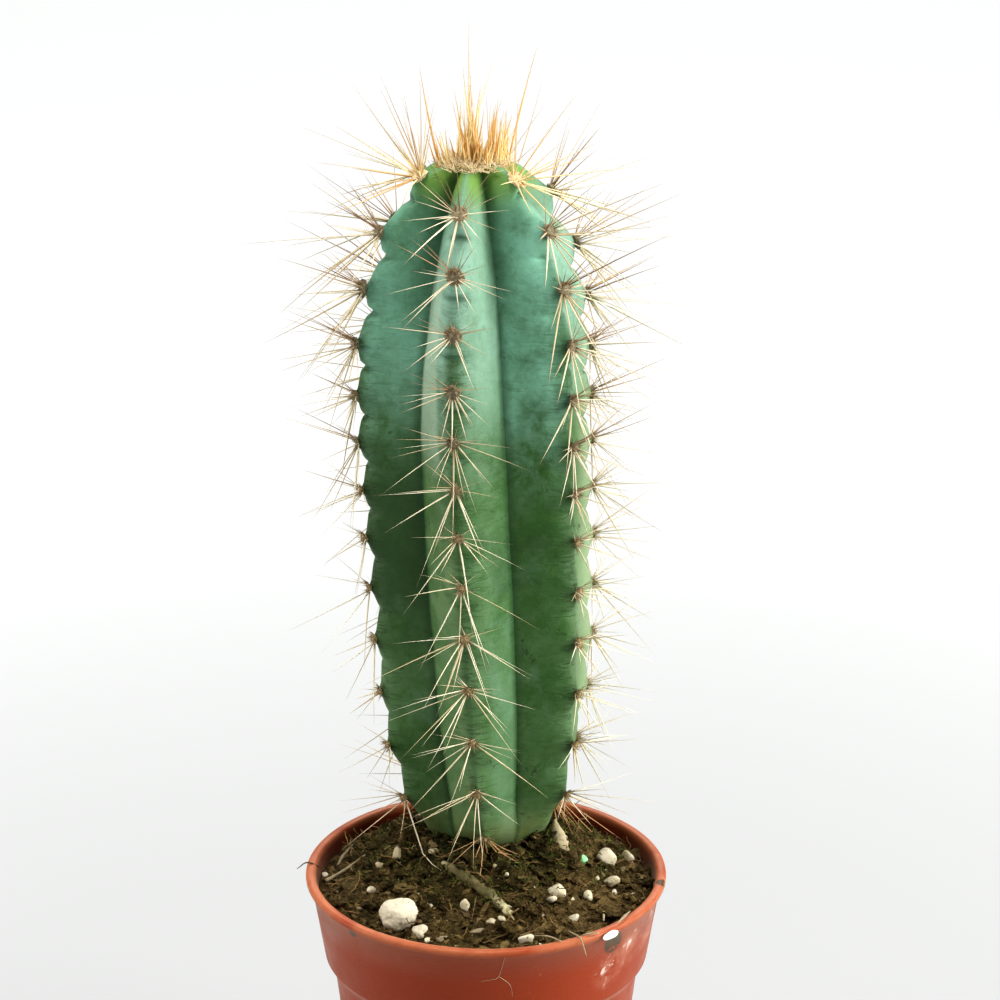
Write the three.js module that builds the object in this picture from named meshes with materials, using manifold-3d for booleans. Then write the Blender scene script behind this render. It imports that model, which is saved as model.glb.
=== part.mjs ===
// A blue torch cactus growing in a round plastic nursery pot, at real size.
// Millimetres, +Z up. The origin is the centre of the pot's underside and -Y is the front.
import * as THREE from 'three';
import { mergeVertices } from 'three/addons/utils/BufferGeometryUtils.js';
import Module from 'manifold-3d';

// Pot
const RIM_RADIUS = 45;
const POT_HEIGHT = 80;
const BEAD_HEIGHT = 2;
const BEAD_PROUD = 1.3;
const BEAD_EDGE = 0.4;
const COLLAR_FOOT_RADIUS = 40.5;
const COLLAR_FOOT_Z = 58.6;
const STEP_RADIUS = 38.3;
const STEP_Z = 55.3;
const BASE_RADIUS = 31.5;
const BASE_CHAMFER = 1;
const POT_WALL = 1.2;
const FLOOR_THICKNESS = 1.8;
const DRAIN_COUNT = 6;
const DRAIN_RADIUS = 3;
const DRAIN_CIRCLE_RADIUS = 20;
const DRAIN_SIDES = 12;

// Potting mix: a tilted surface with a mound round the stem
const SEAT_GAP = 0.3;
const SOIL_EDGE_Z = 75.6;
const SOIL_TILT = 0.044;
const MOUND_HEIGHT = 11.5;
const MOUND_FLAT = 14;
const MOUND_SPREAD = 22;
const MOUND_WALL_FADE = 0.6;
const SOIL_RELIEF = 0.7;
const SOIL_RING_FRACTIONS = [0.97, 0.9, 0.8, 0.7, 0.6, 0.5, 0.4, 0.3, 0.2, 0.1];

// Stem
const STEM_FOOT = new THREE.Vector3(0.2, 13, 86);
const STEM_HEIGHT = 171;
const STEM_LEAN = -2.9;
const LEAN_FROM = 30;
const LEAN_TO = 130;
const CREST_RADIUS = 29.8;
const CROWN_HEIGHT = 46;
const CROWN_TAPER = 1.5;
const CROWN_BLUNTNESS = 0.32;
const FOOT_FLARES = [
  { narrowing: 9, height: 28 },
  { narrowing: 6.1, height: 8 },
];
const ROOT_DEPTH = 30;
const ROOT_TAPER = 1.6;
const RIB_COUNT = 6;
const RIB_TWIST_DEG = -9.5;
const TWIST_HEIGHT = 25;
const GROOVE_RATIO = 0.7;
const CROWN_GROOVE_RATIO = 0.54;
const GROOVE_DEEPENS_FROM = 95;
const GROOVE_DEEPENS_TO = 155;
const GROOVE_FADE_FROM = -6;
const GROOVE_FADE_TO = 14;
const CREST_SHOULDER_DROP = 1;
const CREST_SHOULDER_WIDTH = 4;
const CROWN_GROOVE_DROP = 4.5;
const CROWN_GROOVE_CURVE = 4;
const FLANK_STEPS = [0, 0.25, 0.55];
const ROOT_ROWS = 4;
const APEX_ROW_BELOW_TOP = 0.5;

// Areoles: the woolly cushions on the crests, with the scallops between them
const AREOLE_SPACING = 13.2;
const SPACING_SWELL = 4.5;
const SWELL_AREOLES = 9;
const ROWS_PER_AREOLE = 4;
const RIB_FIRST_ROWS = [1, 4, 1, 1, 2, 3];
const TOP_AREOLE_HEIGHT = 170;
const SCALLOP_DEPTH = 1.5;
const CROWN_SCALLOP_DEPTH = 3.4;
const CREASE_SHARE = 0.56;
const SCALLOP_CURVE = 1.4;
const SCALLOP_FADE = 6;
const WOOL_HEIGHT = 1.3;

// Spines: three-sided needles rooted under the wool
const SPINE_ROOT_RADIUS = 0.4;
const SPINE_ROOT_DEPTH = 1.5;
const SPINE_RING_RADIUS = 1.1;
const SPINE_SIDES = 3;
const SPINES_PER_AREOLE = [
  // across: degrees from straight down the rib, towards its left when negative; out: lift off the rib
  { across: -58, out: 22, length: 18 },
  { across: 58, out: 22, length: 18 },
  { across: -102, out: 30, length: 13 },
  { across: 102, out: 30, length: 13 },
  { across: 14, out: 38, length: 21 },
  { across: -158, out: 52, length: 11 },
];
const SPINE_TURN_SPREAD = 8;
const SPINE_LIFT_SPREAD = 4;
const SPINE_LENGTH_SPREAD = 0.16;
const CROWN_SPINE_GAIN = 1.25;
const TUFT_SPINES = 16;
const TUFT_LENGTH = 31;
const TUFT_SPREAD_DEG = 46;
const TUFT_RADIUS = 5;
const TUFT_SHORTER_OUTSIDE = 0.55;
const TUFT_WOOL_RADIUS = 6.5;
const TUFT_WOOL_HEIGHT = 2.2;
const CLEARANCE = 0.8;
const CLEARANCE_SAMPLES = [0.35, 0.5, 0.7, 0.85, 1];
const LIFT_STEP_DEG = 6;
const MOST_LIFT_STEPS = 12;

// Loose pieces: place of each grain on the soil and half its width, and the flake's place on the rim
const STONE = { x: -21, y: -24.4, radius: 4.7, flatness: 0.8 };
const GRAINS = [
  { x: -15.6, y: -31.6, radius: 2.1 },
  { x: -4.8, y: -22.5, radius: 1.5 },
  { x: 1.6, y: -28.2, radius: 1.3 },
  { x: 9.7, y: -35.2, radius: 1.6 },
  { x: 17.4, y: -15.5, radius: 1.9 },
  { x: 31, y: -6.7, radius: 1.8 },
  { x: 30.4, y: 4.5, radius: 2.3 },
  { x: 35.6, y: 10.3, radius: 2 },
  { x: -26.4, y: -1.8, radius: 1.2 },
  { x: -28.3, y: -11.3, radius: 1.2 },
];
const GRAIN_ROUGHNESS = 0.12;
const GRAIN_SUNK = 0.35;
const GRANULE = { x: 23.9, y: -1.5, radius: 1.4 };
const FLAKE = { azimuthDeg: 41, z: 78.9, length: 5, height: 2, thickness: 0.8 };
const FLAKE_SIDES = 8;
const TWIG = { fromX: -9.5, fromY: -9.2, toX: 5.6, toY: -24.6, radius: 1.4 };
const TWIG_SIDES = 7;
const TWIG_SECTIONS = 6;
const TWIG_END_SHARE = 0.75;
const TWIG_CAP_SHARE = 0.3;
const TWIG_ROUGHNESS = 0.15;

const INVERSE_PASSES = 6;
const LATHE_SIDES = 48;
const SOIL_SEED = 21960;
const SPINE_SEED = 21961;
const TWIG_SEED = 21962;
const STONE_SEED = 21970;
const FIRST_GRAIN_SEED = 21971;
const GRANULE_SEED = 22000;
const UP = new THREE.Vector3(0, 0, 1);

const wasm = await Module();
wasm.setup();

// A repeatable source of numbers from 0 to 1
function seededRandom(seed) {
  let state = seed;
  return () => {
    state = (state + 0x6d2b79f5) | 0;
    let mixed = Math.imul(state ^ (state >>> 15), 1 | state);
    mixed = (mixed + Math.imul(mixed ^ (mixed >>> 7), 61 | mixed)) ^ mixed;
    return ((mixed ^ (mixed >>> 14)) >>> 0) / 4294967296;
  };
}

function clamped(value) {
  return Math.min(1, Math.max(0, value));
}

function smooth(value) {
  const t = clamped(value);
  return t * t * (3 - 2 * t);
}

function radians(degrees) {
  return THREE.MathUtils.degToRad(degrees);
}

// A point round a vertical axis: azimuth 0 faces the front and grows towards the right
function aroundAxis(radius, azimuth, z) {
  return new THREE.Vector3(radius * Math.sin(azimuth), -radius * Math.cos(azimuth), z);
}

// A closed surface through rings of points, from a pole underneath to a pole on top
function bodyOfRings(lowerPole, rings, upperPole) {
  const sides = rings[0].length;
  const points = [lowerPole, ...rings.flat(), upperPole];
  const top = points.length - 1;
  const at = (ring, side) => 1 + ring * sides + (side % sides);
  const faces = [];
  for (let side = 0; side < sides; side += 1) {
    faces.push(0, at(0, side + 1), at(0, side));
    faces.push(top, at(rings.length - 1, side), at(rings.length - 1, side + 1));
    for (let ring = 0; ring < rings.length - 1; ring += 1) {
      const [a, b] = [at(ring, side), at(ring, side + 1)];
      const [c, d] = [at(ring + 1, side + 1), at(ring + 1, side)];
      faces.push(a, b, c, a, c, d);
    }
  }
  const geometry = new THREE.BufferGeometry().setFromPoints(points);
  geometry.setIndex(faces);
  return geometry;
}

function toSolid(geometry) {
  const bare = geometry.clone();
  bare.deleteAttribute('normal');
  bare.deleteAttribute('uv');
  const merged = mergeVertices(bare, 1e-4);
  const vertProperties = new Float32Array(merged.attributes.position.array);
  const triVerts = new Uint32Array(merged.index.array);
  return new wasm.Manifold(new wasm.Mesh({ numProp: 3, vertProperties, triVerts }));
}

function toGeometry(solid) {
  const mesh = solid.getMesh();
  const geometry = new THREE.BufferGeometry();
  geometry.setAttribute('position', new THREE.BufferAttribute(mesh.vertProperties, mesh.numProp));
  geometry.setIndex(new THREE.BufferAttribute(mesh.triVerts, 1));
  geometry.computeVertexNormals();
  return geometry;
}

function moulding(profile) {
  const outline = profile.map(([radius, z]) => new THREE.Vector2(radius, z));
  return new THREE.LatheGeometry(outline, LATHE_SIDES).rotateX(Math.PI / 2);
}

// The pot's outer wall from the base to the bead, as radius and height
const OUTER_WALL = [
  [BASE_RADIUS, BASE_CHAMFER],
  [STEP_RADIUS, STEP_Z],
  [COLLAR_FOOT_RADIUS, COLLAR_FOOT_Z],
  [RIM_RADIUS - BEAD_PROUD, POT_HEIGHT - BEAD_HEIGHT],
];

function wallRadius(z) {
  const above = OUTER_WALL.findIndex(([, height]) => height >= z);
  const end = above < 0 ? OUTER_WALL.length - 1 : Math.max(above, 1);
  const [lowRadius, lowZ] = OUTER_WALL[end - 1];
  const [highRadius, highZ] = OUTER_WALL[end];
  return lowRadius + ((highRadius - lowRadius) * (z - lowZ)) / (highZ - lowZ);
}

function potGeometry() {
  const beadFoot = POT_HEIGHT - BEAD_HEIGHT;
  const mouthRadius = wallRadius(beadFoot) - POT_WALL;
  const inside = OUTER_WALL.slice(1).reverse().map(([radius, z]) => [radius - POT_WALL, z]);
  const shell = toSolid(moulding([
    [0, 0],
    [BASE_RADIUS - BASE_CHAMFER, 0],
    ...OUTER_WALL,
    [RIM_RADIUS, beadFoot + BEAD_EDGE],
    [RIM_RADIUS, POT_HEIGHT - BEAD_EDGE],
    [RIM_RADIUS - BEAD_EDGE, POT_HEIGHT],
    [mouthRadius + BEAD_EDGE, POT_HEIGHT],
    [mouthRadius, POT_HEIGHT - BEAD_EDGE],
    ...inside,
    [wallRadius(FLOOR_THICKNESS) - POT_WALL, FLOOR_THICKNESS],
    [0, FLOOR_THICKNESS],
  ]));
  const holes = [];
  for (let hole = 0; hole < DRAIN_COUNT; hole += 1) {
    const azimuth = (2 * Math.PI * (hole + 0.5)) / DRAIN_COUNT;
    const place = aroundAxis(DRAIN_CIRCLE_RADIUS, azimuth, FLOOR_THICKNESS / 2);
    const drill = new THREE.CylinderGeometry(DRAIN_RADIUS, DRAIN_RADIUS, 3 * FLOOR_THICKNESS, DRAIN_SIDES);
    holes.push(toSolid(drill.rotateX(Math.PI / 2).translate(place.x, place.y, place.z)));
  }
  return toGeometry(shell.subtract(wasm.Manifold.union(holes)));
}

// Height of the soil's surface, before its crumbs
function soilHeight(x, y) {
  const fromAxis = Math.hypot(x, y) / (wallRadius(SOIL_EDGE_Z) - POT_WALL);
  const fromStem = Math.hypot(x - STEM_FOOT.x, y - STEM_FOOT.y);
  const wallFade = clamped(1 - fromAxis ** 2) ** MOUND_WALL_FADE;
  const stemFade = Math.exp(-((Math.max(fromStem - MOUND_FLAT, 0) / MOUND_SPREAD) ** 2));
  return SOIL_EDGE_Z - SOIL_TILT * y + MOUND_HEIGHT * wallFade * stemFade;
}

function soilSolid() {
  const random = seededRandom(SOIL_SEED);
  const azimuths = Array.from({ length: LATHE_SIDES }, (_, side) => (2 * Math.PI * side) / LATHE_SIDES);
  const innerRadius = (z) => wallRadius(z) - POT_WALL - SEAT_GAP;
  const level = (z) => azimuths.map((azimuth) => aroundAxis(innerRadius(z), azimuth, z));
  const onWall = azimuths.map((azimuth) => {
    const edge = aroundAxis(innerRadius(SOIL_EDGE_Z), azimuth, 0);
    const z = soilHeight(edge.x, edge.y);
    return aroundAxis(innerRadius(z), azimuth, z);
  });
  const onTop = SOIL_RING_FRACTIONS.map((fraction) => azimuths.map((azimuth) => {
    const point = aroundAxis(fraction * innerRadius(SOIL_EDGE_Z), azimuth, 0);
    point.z = soilHeight(point.x, point.y) + SOIL_RELIEF * (2 * random() - 1);
    return point;
  }));
  const floor = FLOOR_THICKNESS + SEAT_GAP;
  const rings = [level(floor), level(STEP_Z), level(COLLAR_FOOT_Z), onWall, ...onTop];
  const middle = new THREE.Vector3(0, 0, soilHeight(0, 0));
  return toSolid(bodyOfRings(new THREE.Vector3(0, 0, floor), rings, middle));
}

// Radius of the rib crests at a height over the soil line, without scallops
function crestRadius(height) {
  if (height < 0) {
    const neck = crestRadius(0);
    return neck * (1 - (-height / ROOT_DEPTH) ** ROOT_TAPER);
  }
  const belowTop = Math.min(STEM_HEIGHT - height, CROWN_HEIGHT) / CROWN_HEIGHT;
  const crown = (1 - (1 - belowTop) ** CROWN_TAPER) ** CROWN_BLUNTNESS;
  const flares = FOOT_FLARES.map((foot) => foot.narrowing * Math.exp(-height / foot.height));
  return CREST_RADIUS * crown - flares[0] - flares[1];
}

function frontCrestAzimuth(height) {
  return radians(RIB_TWIST_DEG) * (1 - Math.exp(-Math.max(height, 0) / TWIST_HEIGHT));
}

function ribAzimuth(rib, height) {
  return frontCrestAzimuth(height) + (2 * Math.PI * rib) / RIB_COUNT;
}

// Height over the soil line of the areole with this number; between numbers it runs on evenly
function areoleHeight(number) {
  const swell = Math.sin((Math.PI * Math.min(number, SWELL_AREOLES)) / SWELL_AREOLES);
  return AREOLE_SPACING * number + SPACING_SWELL * swell;
}

// How far a height lies between two areoles of a rib, from 0 at one to 1 at the next
function betweenAreoles(rib, height) {
  let number = height / AREOLE_SPACING;
  for (let pass = 0; pass < INVERSE_PASSES; pass += 1) {
    number -= (areoleHeight(number) - height) / AREOLE_SPACING;
  }
  const fraction = number - RIB_FIRST_ROWS[rib] / ROWS_PER_AREOLE;
  return fraction - Math.floor(fraction);
}

// What the scallops take off the crest and the wool cushions add to it, at t from the crest's middle
function crestRelief(rib, height, t) {
  const inCrown = smooth((height - (STEM_HEIGHT - CROWN_HEIGHT)) / CROWN_HEIGHT);
  const depth = THREE.MathUtils.lerp(SCALLOP_DEPTH, CROWN_SCALLOP_DEPTH, inCrown);
  const ends = smooth(height / SCALLOP_FADE) * smooth((STEM_HEIGHT - height) / SCALLOP_FADE);
  const between = betweenAreoles(rib, height);
  const fromAreole = Math.min(between, 1 - between) * ROWS_PER_AREOLE;
  const wool = WOOL_HEIGHT * clamped(1 - fromAreole) * clamped(1 - t / FLANK_STEPS[1]);
  const intoCrease = Math.min(between / CREASE_SHARE, (1 - between) / (1 - CREASE_SHARE));
  return wool - depth * ends * intoCrease ** SCALLOP_CURVE * (1 - t) ** 2;
}

// The grooves' radius as a share of the crests'
function grooveRatio(height) {
  const deepened = smooth((height - GROOVE_DEEPENS_FROM) / (GROOVE_DEEPENS_TO - GROOVE_DEEPENS_FROM));
  return THREE.MathUtils.lerp(GROOVE_RATIO, CROWN_GROOVE_RATIO, deepened);
}

function stemAxis(height) {
  const lean = STEM_LEAN * smooth((height - LEAN_FROM) / (LEAN_TO - LEAN_FROM));
  return new THREE.Vector3(STEM_FOOT.x + lean, STEM_FOOT.y, STEM_FOOT.z + height);
}

// A point of the stem's skin: across runs from -1 in one groove over 0 on the crest to 1 in the next
function skinPoint(rib, across, height, extra = 0) {
  const side = Math.sign(across);
  const t = Math.abs(across);
  const relief = height > 0 ? crestRelief(rib, height, t) : 0;
  const crest = crestRadius(height) + relief;
  const ribbed = smooth((height - GROOVE_FADE_FROM) / (GROOVE_FADE_TO - GROOVE_FADE_FROM));
  const groove = crestRadius(height) * (1 - (1 - grooveRatio(height)) * ribbed);
  const halfRib = Math.PI / RIB_COUNT;
  const [atCrest, atShoulder, atGroove] = [(1 - t) ** 2, 2 * t * (1 - t), t * t];
  const shoulder = crest - CREST_SHOULDER_DROP;
  const shoulderWidth = CREST_SHOULDER_WIDTH * (crest / CREST_RADIUS);
  const radial = atCrest * crest + atShoulder * shoulder + atGroove * groove * Math.cos(halfRib);
  const sideways = atShoulder * shoulderWidth + atGroove * groove * Math.sin(halfRib);
  const azimuth = ribAzimuth(rib, height) + side * Math.atan2(sideways, radial);
  const intoCrown = clamped((height - (STEM_HEIGHT - CROWN_HEIGHT)) / CROWN_HEIGHT);
  const drop = CROWN_GROOVE_DROP * t * t * Math.sin(Math.PI * intoCrown ** CROWN_GROOVE_CURVE);
  return aroundAxis(Math.hypot(sideways, radial) + extra, azimuth, -drop).add(stemAxis(height));
}

function stemRowHeights() {
  const heights = [];
  for (let row = ROOT_ROWS; row > 0; row -= 1) {
    heights.push(-ROOT_DEPTH * Math.sqrt((row - 0.5) / ROOT_ROWS));
  }
  for (let row = 0; areoleHeight(row / ROWS_PER_AREOLE) < TOP_AREOLE_HEIGHT; row += 1) {
    heights.push(areoleHeight(row / ROWS_PER_AREOLE));
  }
  return [...heights, STEM_HEIGHT - APEX_ROW_BELOW_TOP];
}

// The ribbed body without its spines, grown outwards by extra
function stemBody(extra = 0) {
  const steps = [-1, ...FLANK_STEPS.slice(1).reverse().map((step) => -step), ...FLANK_STEPS];
  const rings = stemRowHeights().map((height) => {
    const ring = [];
    for (let rib = 0; rib < RIB_COUNT; rib += 1) {
      steps.forEach((across) => ring.push(skinPoint(rib, across, height, extra)));
    }
    return ring;
  });
  return toSolid(bodyOfRings(stemAxis(-ROOT_DEPTH - extra), rings, stemAxis(STEM_HEIGHT + extra)));
}

// The areole's place on the crest, with the directions out of the skin, down the rib and to its right
function areoleFrame(rib, height) {
  const point = skinPoint(rib, 0, height);
  const probe = 1;
  const above = skinPoint(rib, 0, Math.min(height + probe, STEM_HEIGHT - 1e-3));
  const below = skinPoint(rib, 0, height - probe);
  const down = below.sub(above).normalize();
  const azimuth = ribAzimuth(rib, height);
  const right = aroundAxis(1, azimuth + Math.PI / 2, 0);
  const out = new THREE.Vector3().crossVectors(right, down).negate().normalize();
  return { point, down, right, out, height };
}

function needle(root, direction, length) {
  const geometry = new THREE.ConeGeometry(SPINE_ROOT_RADIUS, length + SPINE_ROOT_DEPTH, SPINE_SIDES);
  const middle = root.clone().addScaledVector(direction, (length - SPINE_ROOT_DEPTH) / 2);
  const coneAxis = new THREE.Vector3(0, 1, 0);
  geometry.applyQuaternion(new THREE.Quaternion().setFromUnitVectors(coneAxis, direction));
  return toSolid(geometry.translate(middle.x, middle.y, middle.z));
}

// True where a needle would come closer to the soil, the loose pieces or the rim than the clearance
function meetsSoil(root, direction, length) {
  return CLEARANCE_SAMPLES.some((share) => {
    const point = root.clone().addScaledVector(direction, length * share);
    const overPot = Math.hypot(point.x, point.y) < RIM_RADIUS + 2 * CLEARANCE;
    const looseTop = soilHeight(point.x, point.y) + SOIL_RELIEF + STONE.radius / 2;
    return overPot && point.z < Math.max(looseTop, POT_HEIGHT) + CLEARANCE;
  });
}

// Turns a low needle upwards until it is clear of the soil
function clearOfSoil(root, direction, length) {
  let turned = direction.clone();
  for (let step = 0; step < MOST_LIFT_STEPS && meetsSoil(root, turned, length); step += 1) {
    const axis = new THREE.Vector3().crossVectors(turned, UP).normalize();
    turned = turned.clone().applyAxisAngle(axis, radians(LIFT_STEP_DEG));
  }
  return turned;
}

function areoleSpines(frame, random) {
  const nearTop = smooth((frame.height - (STEM_HEIGHT - CROWN_HEIGHT)) / CROWN_HEIGHT);
  return SPINES_PER_AREOLE.map((spine) => {
    const across = radians(spine.across + SPINE_TURN_SPREAD * (2 * random() - 1));
    const out = radians(spine.out + SPINE_LIFT_SPREAD * (2 * random() - 1));
    const length = spine.length * (1 + SPINE_LENGTH_SPREAD * (2 * random() - 1))
      * THREE.MathUtils.lerp(1, CROWN_SPINE_GAIN, nearTop);
    const overSkin = new THREE.Vector3()
      .addScaledVector(frame.down, Math.cos(across))
      .addScaledVector(frame.right, Math.sin(across));
    const direction = overSkin.clone().multiplyScalar(Math.cos(out));
    direction.addScaledVector(frame.out, Math.sin(out));
    const root = frame.point.clone()
      .addScaledVector(overSkin, SPINE_RING_RADIUS)
      .addScaledVector(frame.out, -WOOL_HEIGHT / 2);
    return needle(root, clearOfSoil(root, direction, length), length);
  });
}

// The crown's tuft: young wool in the middle with its spines standing nearly upright
function tuftSolids(random) {
  const top = stemAxis(STEM_HEIGHT);
  const wool = new THREE.IcosahedronGeometry(1, 1);
  wool.scale(TUFT_WOOL_RADIUS, TUFT_WOOL_RADIUS, TUFT_WOOL_HEIGHT);
  const solids = [toSolid(wool.translate(top.x, top.y, top.z))];
  const goldenAngle = Math.PI * (3 - Math.sqrt(5));
  for (let spine = 0; spine < TUFT_SPINES; spine += 1) {
    const share = Math.sqrt((spine + 0.5) / TUFT_SPINES);
    const azimuth = goldenAngle * spine;
    const lean = radians(TUFT_SPREAD_DEG) * share;
    const direction = aroundAxis(Math.sin(lean), azimuth, Math.cos(lean));
    const root = aroundAxis(TUFT_RADIUS * share, azimuth, 0).add(top);
    const spread = SPINE_LENGTH_SPREAD * (2 * random() - 1);
    const length = TUFT_LENGTH * (1 - TUFT_SHORTER_OUTSIDE * share + spread);
    solids.push(needle(root, direction, length));
  }
  return solids;
}

function stemGeometry() {
  const random = seededRandom(SPINE_SEED);
  const solids = [stemBody(), ...tuftSolids(random)];
  for (let rib = 0; rib < RIB_COUNT; rib += 1) {
    let number = RIB_FIRST_ROWS[rib] / ROWS_PER_AREOLE;
    while (areoleHeight(number) < TOP_AREOLE_HEIGHT) {
      solids.push(...areoleSpines(areoleFrame(rib, areoleHeight(number)), random));
      number += 1;
    }
  }
  return toGeometry(wasm.Manifold.union(solids));
}

// A weathered grain: a faceted ball pushed in and out, lying with its lower part in the soil
function grainGeometry(grain, detail, seed, grown = 0) {
  const random = seededRandom(seed);
  const bare = new THREE.IcosahedronGeometry(1, detail);
  bare.deleteAttribute('normal');
  bare.deleteAttribute('uv');
  const geometry = mergeVertices(bare, 1e-4);
  const flatness = grain.flatness ?? 1;
  const place = new THREE.Vector3(grain.x, grain.y, soilHeight(grain.x, grain.y));
  place.z += grain.radius * flatness * (1 - 2 * GRAIN_SUNK);
  const position = geometry.attributes.position;
  const point = new THREE.Vector3();
  for (let corner = 0; corner < position.count; corner += 1) {
    const push = 1 + GRAIN_ROUGHNESS * (2 * random() - 1);
    point.fromBufferAttribute(position, corner);
    point.multiplyScalar(grain.radius * push + grown);
    point.z *= flatness;
    point.add(place);
    position.setXYZ(corner, point.x, point.y, point.z);
  }
  return geometry;
}

// A flat chip that sticks to the outside of the rim's bead
function flakeGeometry() {
  const geometry = new THREE.CylinderGeometry(0.5, 0.5, 1, FLAKE_SIDES);
  geometry.scale(FLAKE.length, FLAKE.thickness, FLAKE.height);
  const azimuth = radians(FLAKE.azimuthDeg);
  const place = aroundAxis(RIM_RADIUS + SEAT_GAP + FLAKE.thickness / 2, azimuth, FLAKE.z);
  return geometry.rotateZ(azimuth).translate(place.x, place.y, place.z);
}

// A piece of bark running down the mound, a little thinner towards its ends
function twigGeometry(grown = 0) {
  const random = seededRandom(TWIG_SEED);
  const from = new THREE.Vector3(TWIG.fromX, TWIG.fromY, 0);
  const to = new THREE.Vector3(TWIG.toX, TWIG.toY, 0);
  const along = to.clone().sub(from).normalize();
  const sideways = new THREE.Vector3().crossVectors(UP, along);
  const spine = (share) => {
    const point = from.clone().lerp(to, share);
    point.z = soilHeight(point.x, point.y) + TWIG.radius / 2;
    return point;
  };
  const rings = [];
  for (let section = 0; section <= TWIG_SECTIONS; section += 1) {
    const share = section / TWIG_SECTIONS;
    const thick = TWIG.radius * THREE.MathUtils.lerp(TWIG_END_SHARE, 1, Math.sin(Math.PI * share));
    const ring = [];
    for (let side = 0; side < TWIG_SIDES; side += 1) {
      const turn = (2 * Math.PI * side) / TWIG_SIDES;
      const reach = thick * (1 + TWIG_ROUGHNESS * (2 * random() - 1)) + grown;
      ring.push(spine(share)
        .addScaledVector(sideways, reach * Math.cos(turn))
        .addScaledVector(UP, reach * Math.sin(turn)));
    }
    rings.push(ring);
  }
  const cap = TWIG.radius * TWIG_CAP_SHARE + grown;
  return bodyOfRings(spine(0).addScaledVector(along, -cap), rings, spine(1).addScaledVector(along, cap));
}

function material(colour, roughness) {
  return new THREE.MeshStandardMaterial({ color: colour, roughness, metalness: 0 });
}

const plant = new THREE.Group();

function addPiece(name, geometry, finish) {
  const mesh = new THREE.Mesh(geometry, finish);
  mesh.name = name;
  plant.add(mesh);
}

const potPlastic = material(0xb5502f, 0.45);
const peat = material(0x3b2c1c, 0.95);
const waxySkin = material(0x4f8f78, 0.55);
const perlite = material(0xe9e3d6, 0.9);
const bark = material(0x5b4630, 0.9);
const granuleCoating = material(0x8fcf9a, 0.5);
const paleFlake = material(0xc9d6c4, 0.8);

// Each piece that lies in the soil, with its shape when it is grown outwards on all sides
const loosePieces = [
  { name: 'perlite_stone', finish: perlite, shape: (grown) => grainGeometry(STONE, 1, STONE_SEED, grown) },
  ...GRAINS.map((grain, index) => ({
    name: `perlite_grain_${String(index + 1).padStart(2, '0')}`,
    finish: perlite,
    shape: (grown) => grainGeometry(grain, 0, FIRST_GRAIN_SEED + index, grown),
  })),
  {
    name: 'feed_granule',
    finish: granuleCoating,
    shape: (grown) => grainGeometry(GRANULE, 0, GRANULE_SEED, grown),
  },
  { name: 'bark_twig', finish: bark, shape: twigGeometry },
];

const beds = loosePieces.map((piece) => toSolid(piece.shape(SEAT_GAP)));
const stemHole = stemBody(SEAT_GAP);
const soil = soilSolid().subtract(wasm.Manifold.union([stemHole, ...beds]));

addPiece('pot', potGeometry(), potPlastic);
addPiece('potting_mix', toGeometry(soil), peat);
addPiece('cactus_stem', stemGeometry(), waxySkin);
loosePieces.forEach((piece) => addPiece(piece.name, piece.shape(0), piece.finish));
addPiece('rim_flake', flakeGeometry(), paleFlake);

export default plant;
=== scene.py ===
import math
import random
from functools import partialmethod

import bmesh
import bpy
from mathutils import Matrix, Vector, noise


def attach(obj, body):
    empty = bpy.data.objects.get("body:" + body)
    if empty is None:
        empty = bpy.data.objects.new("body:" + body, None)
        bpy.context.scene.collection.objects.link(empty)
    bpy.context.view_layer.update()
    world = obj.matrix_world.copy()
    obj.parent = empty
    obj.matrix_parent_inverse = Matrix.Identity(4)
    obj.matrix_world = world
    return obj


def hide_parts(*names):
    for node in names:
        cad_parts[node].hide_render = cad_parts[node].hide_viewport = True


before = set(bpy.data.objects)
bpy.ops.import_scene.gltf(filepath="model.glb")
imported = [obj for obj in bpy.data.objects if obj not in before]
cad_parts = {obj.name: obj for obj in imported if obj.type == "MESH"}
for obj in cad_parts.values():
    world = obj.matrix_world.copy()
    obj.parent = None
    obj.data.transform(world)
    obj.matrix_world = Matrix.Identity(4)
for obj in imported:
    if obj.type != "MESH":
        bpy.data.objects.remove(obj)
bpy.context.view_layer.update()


# The studio: a long lens a little above the plant, a pale table that runs out of sight, and large
# soft lights at both sides, above and behind, so that what faces the camera squarely stays darker.
MM = 0.001
DEGREE = math.pi / 180
CAMERA_PLACE = (3.5 * MM, -700 * MM, 423.8 * MM)
CAMERA_PITCH = 19.41 * DEGREE
CAMERA_LENS = 111.7
TABLE_RADIUS = 40.0
TABLE_SIDES = 64
GLOW_IN_PAINTED_SHADE = 0.51
GLOW_FAR = 0.73
LIGHT_AIM = Vector((0, 0.01, 0.15))
LIGHTS = {
    # place, width and height in metres, power in watts, colour
    "light_left": ((-1.05, -0.08, 0.55), 0.7, 0.9, 9.5, (1.0, 0.99, 0.97)),
    "light_right": ((1.05, -0.22, 0.50), 0.7, 0.9, 20.0, (1.0, 1.0, 0.97)),
    "light_top": ((-0.05, -0.06, 1.35), 0.5, 0.5, 14.0, (1.0, 1.0, 1.0)),
    "light_fill": ((0.70, -0.78, 0.42), 0.4, 0.6, 2.6, (1.0, 1.0, 0.98)),
    "light_back": ((0.2, 2.2, 1.9), 1.6, 1.0, 34.0, (1.0, 1.0, 1.0)),
}

scene = bpy.context.scene
scene.view_settings.view_transform = "Standard"
scene.view_settings.look = "Medium High Contrast"


def new_object(name, data, material=None):
    made = bpy.data.objects.new(name, data)
    scene.collection.objects.link(made)
    if material:
        data.materials.append(material)
    return made


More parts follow.
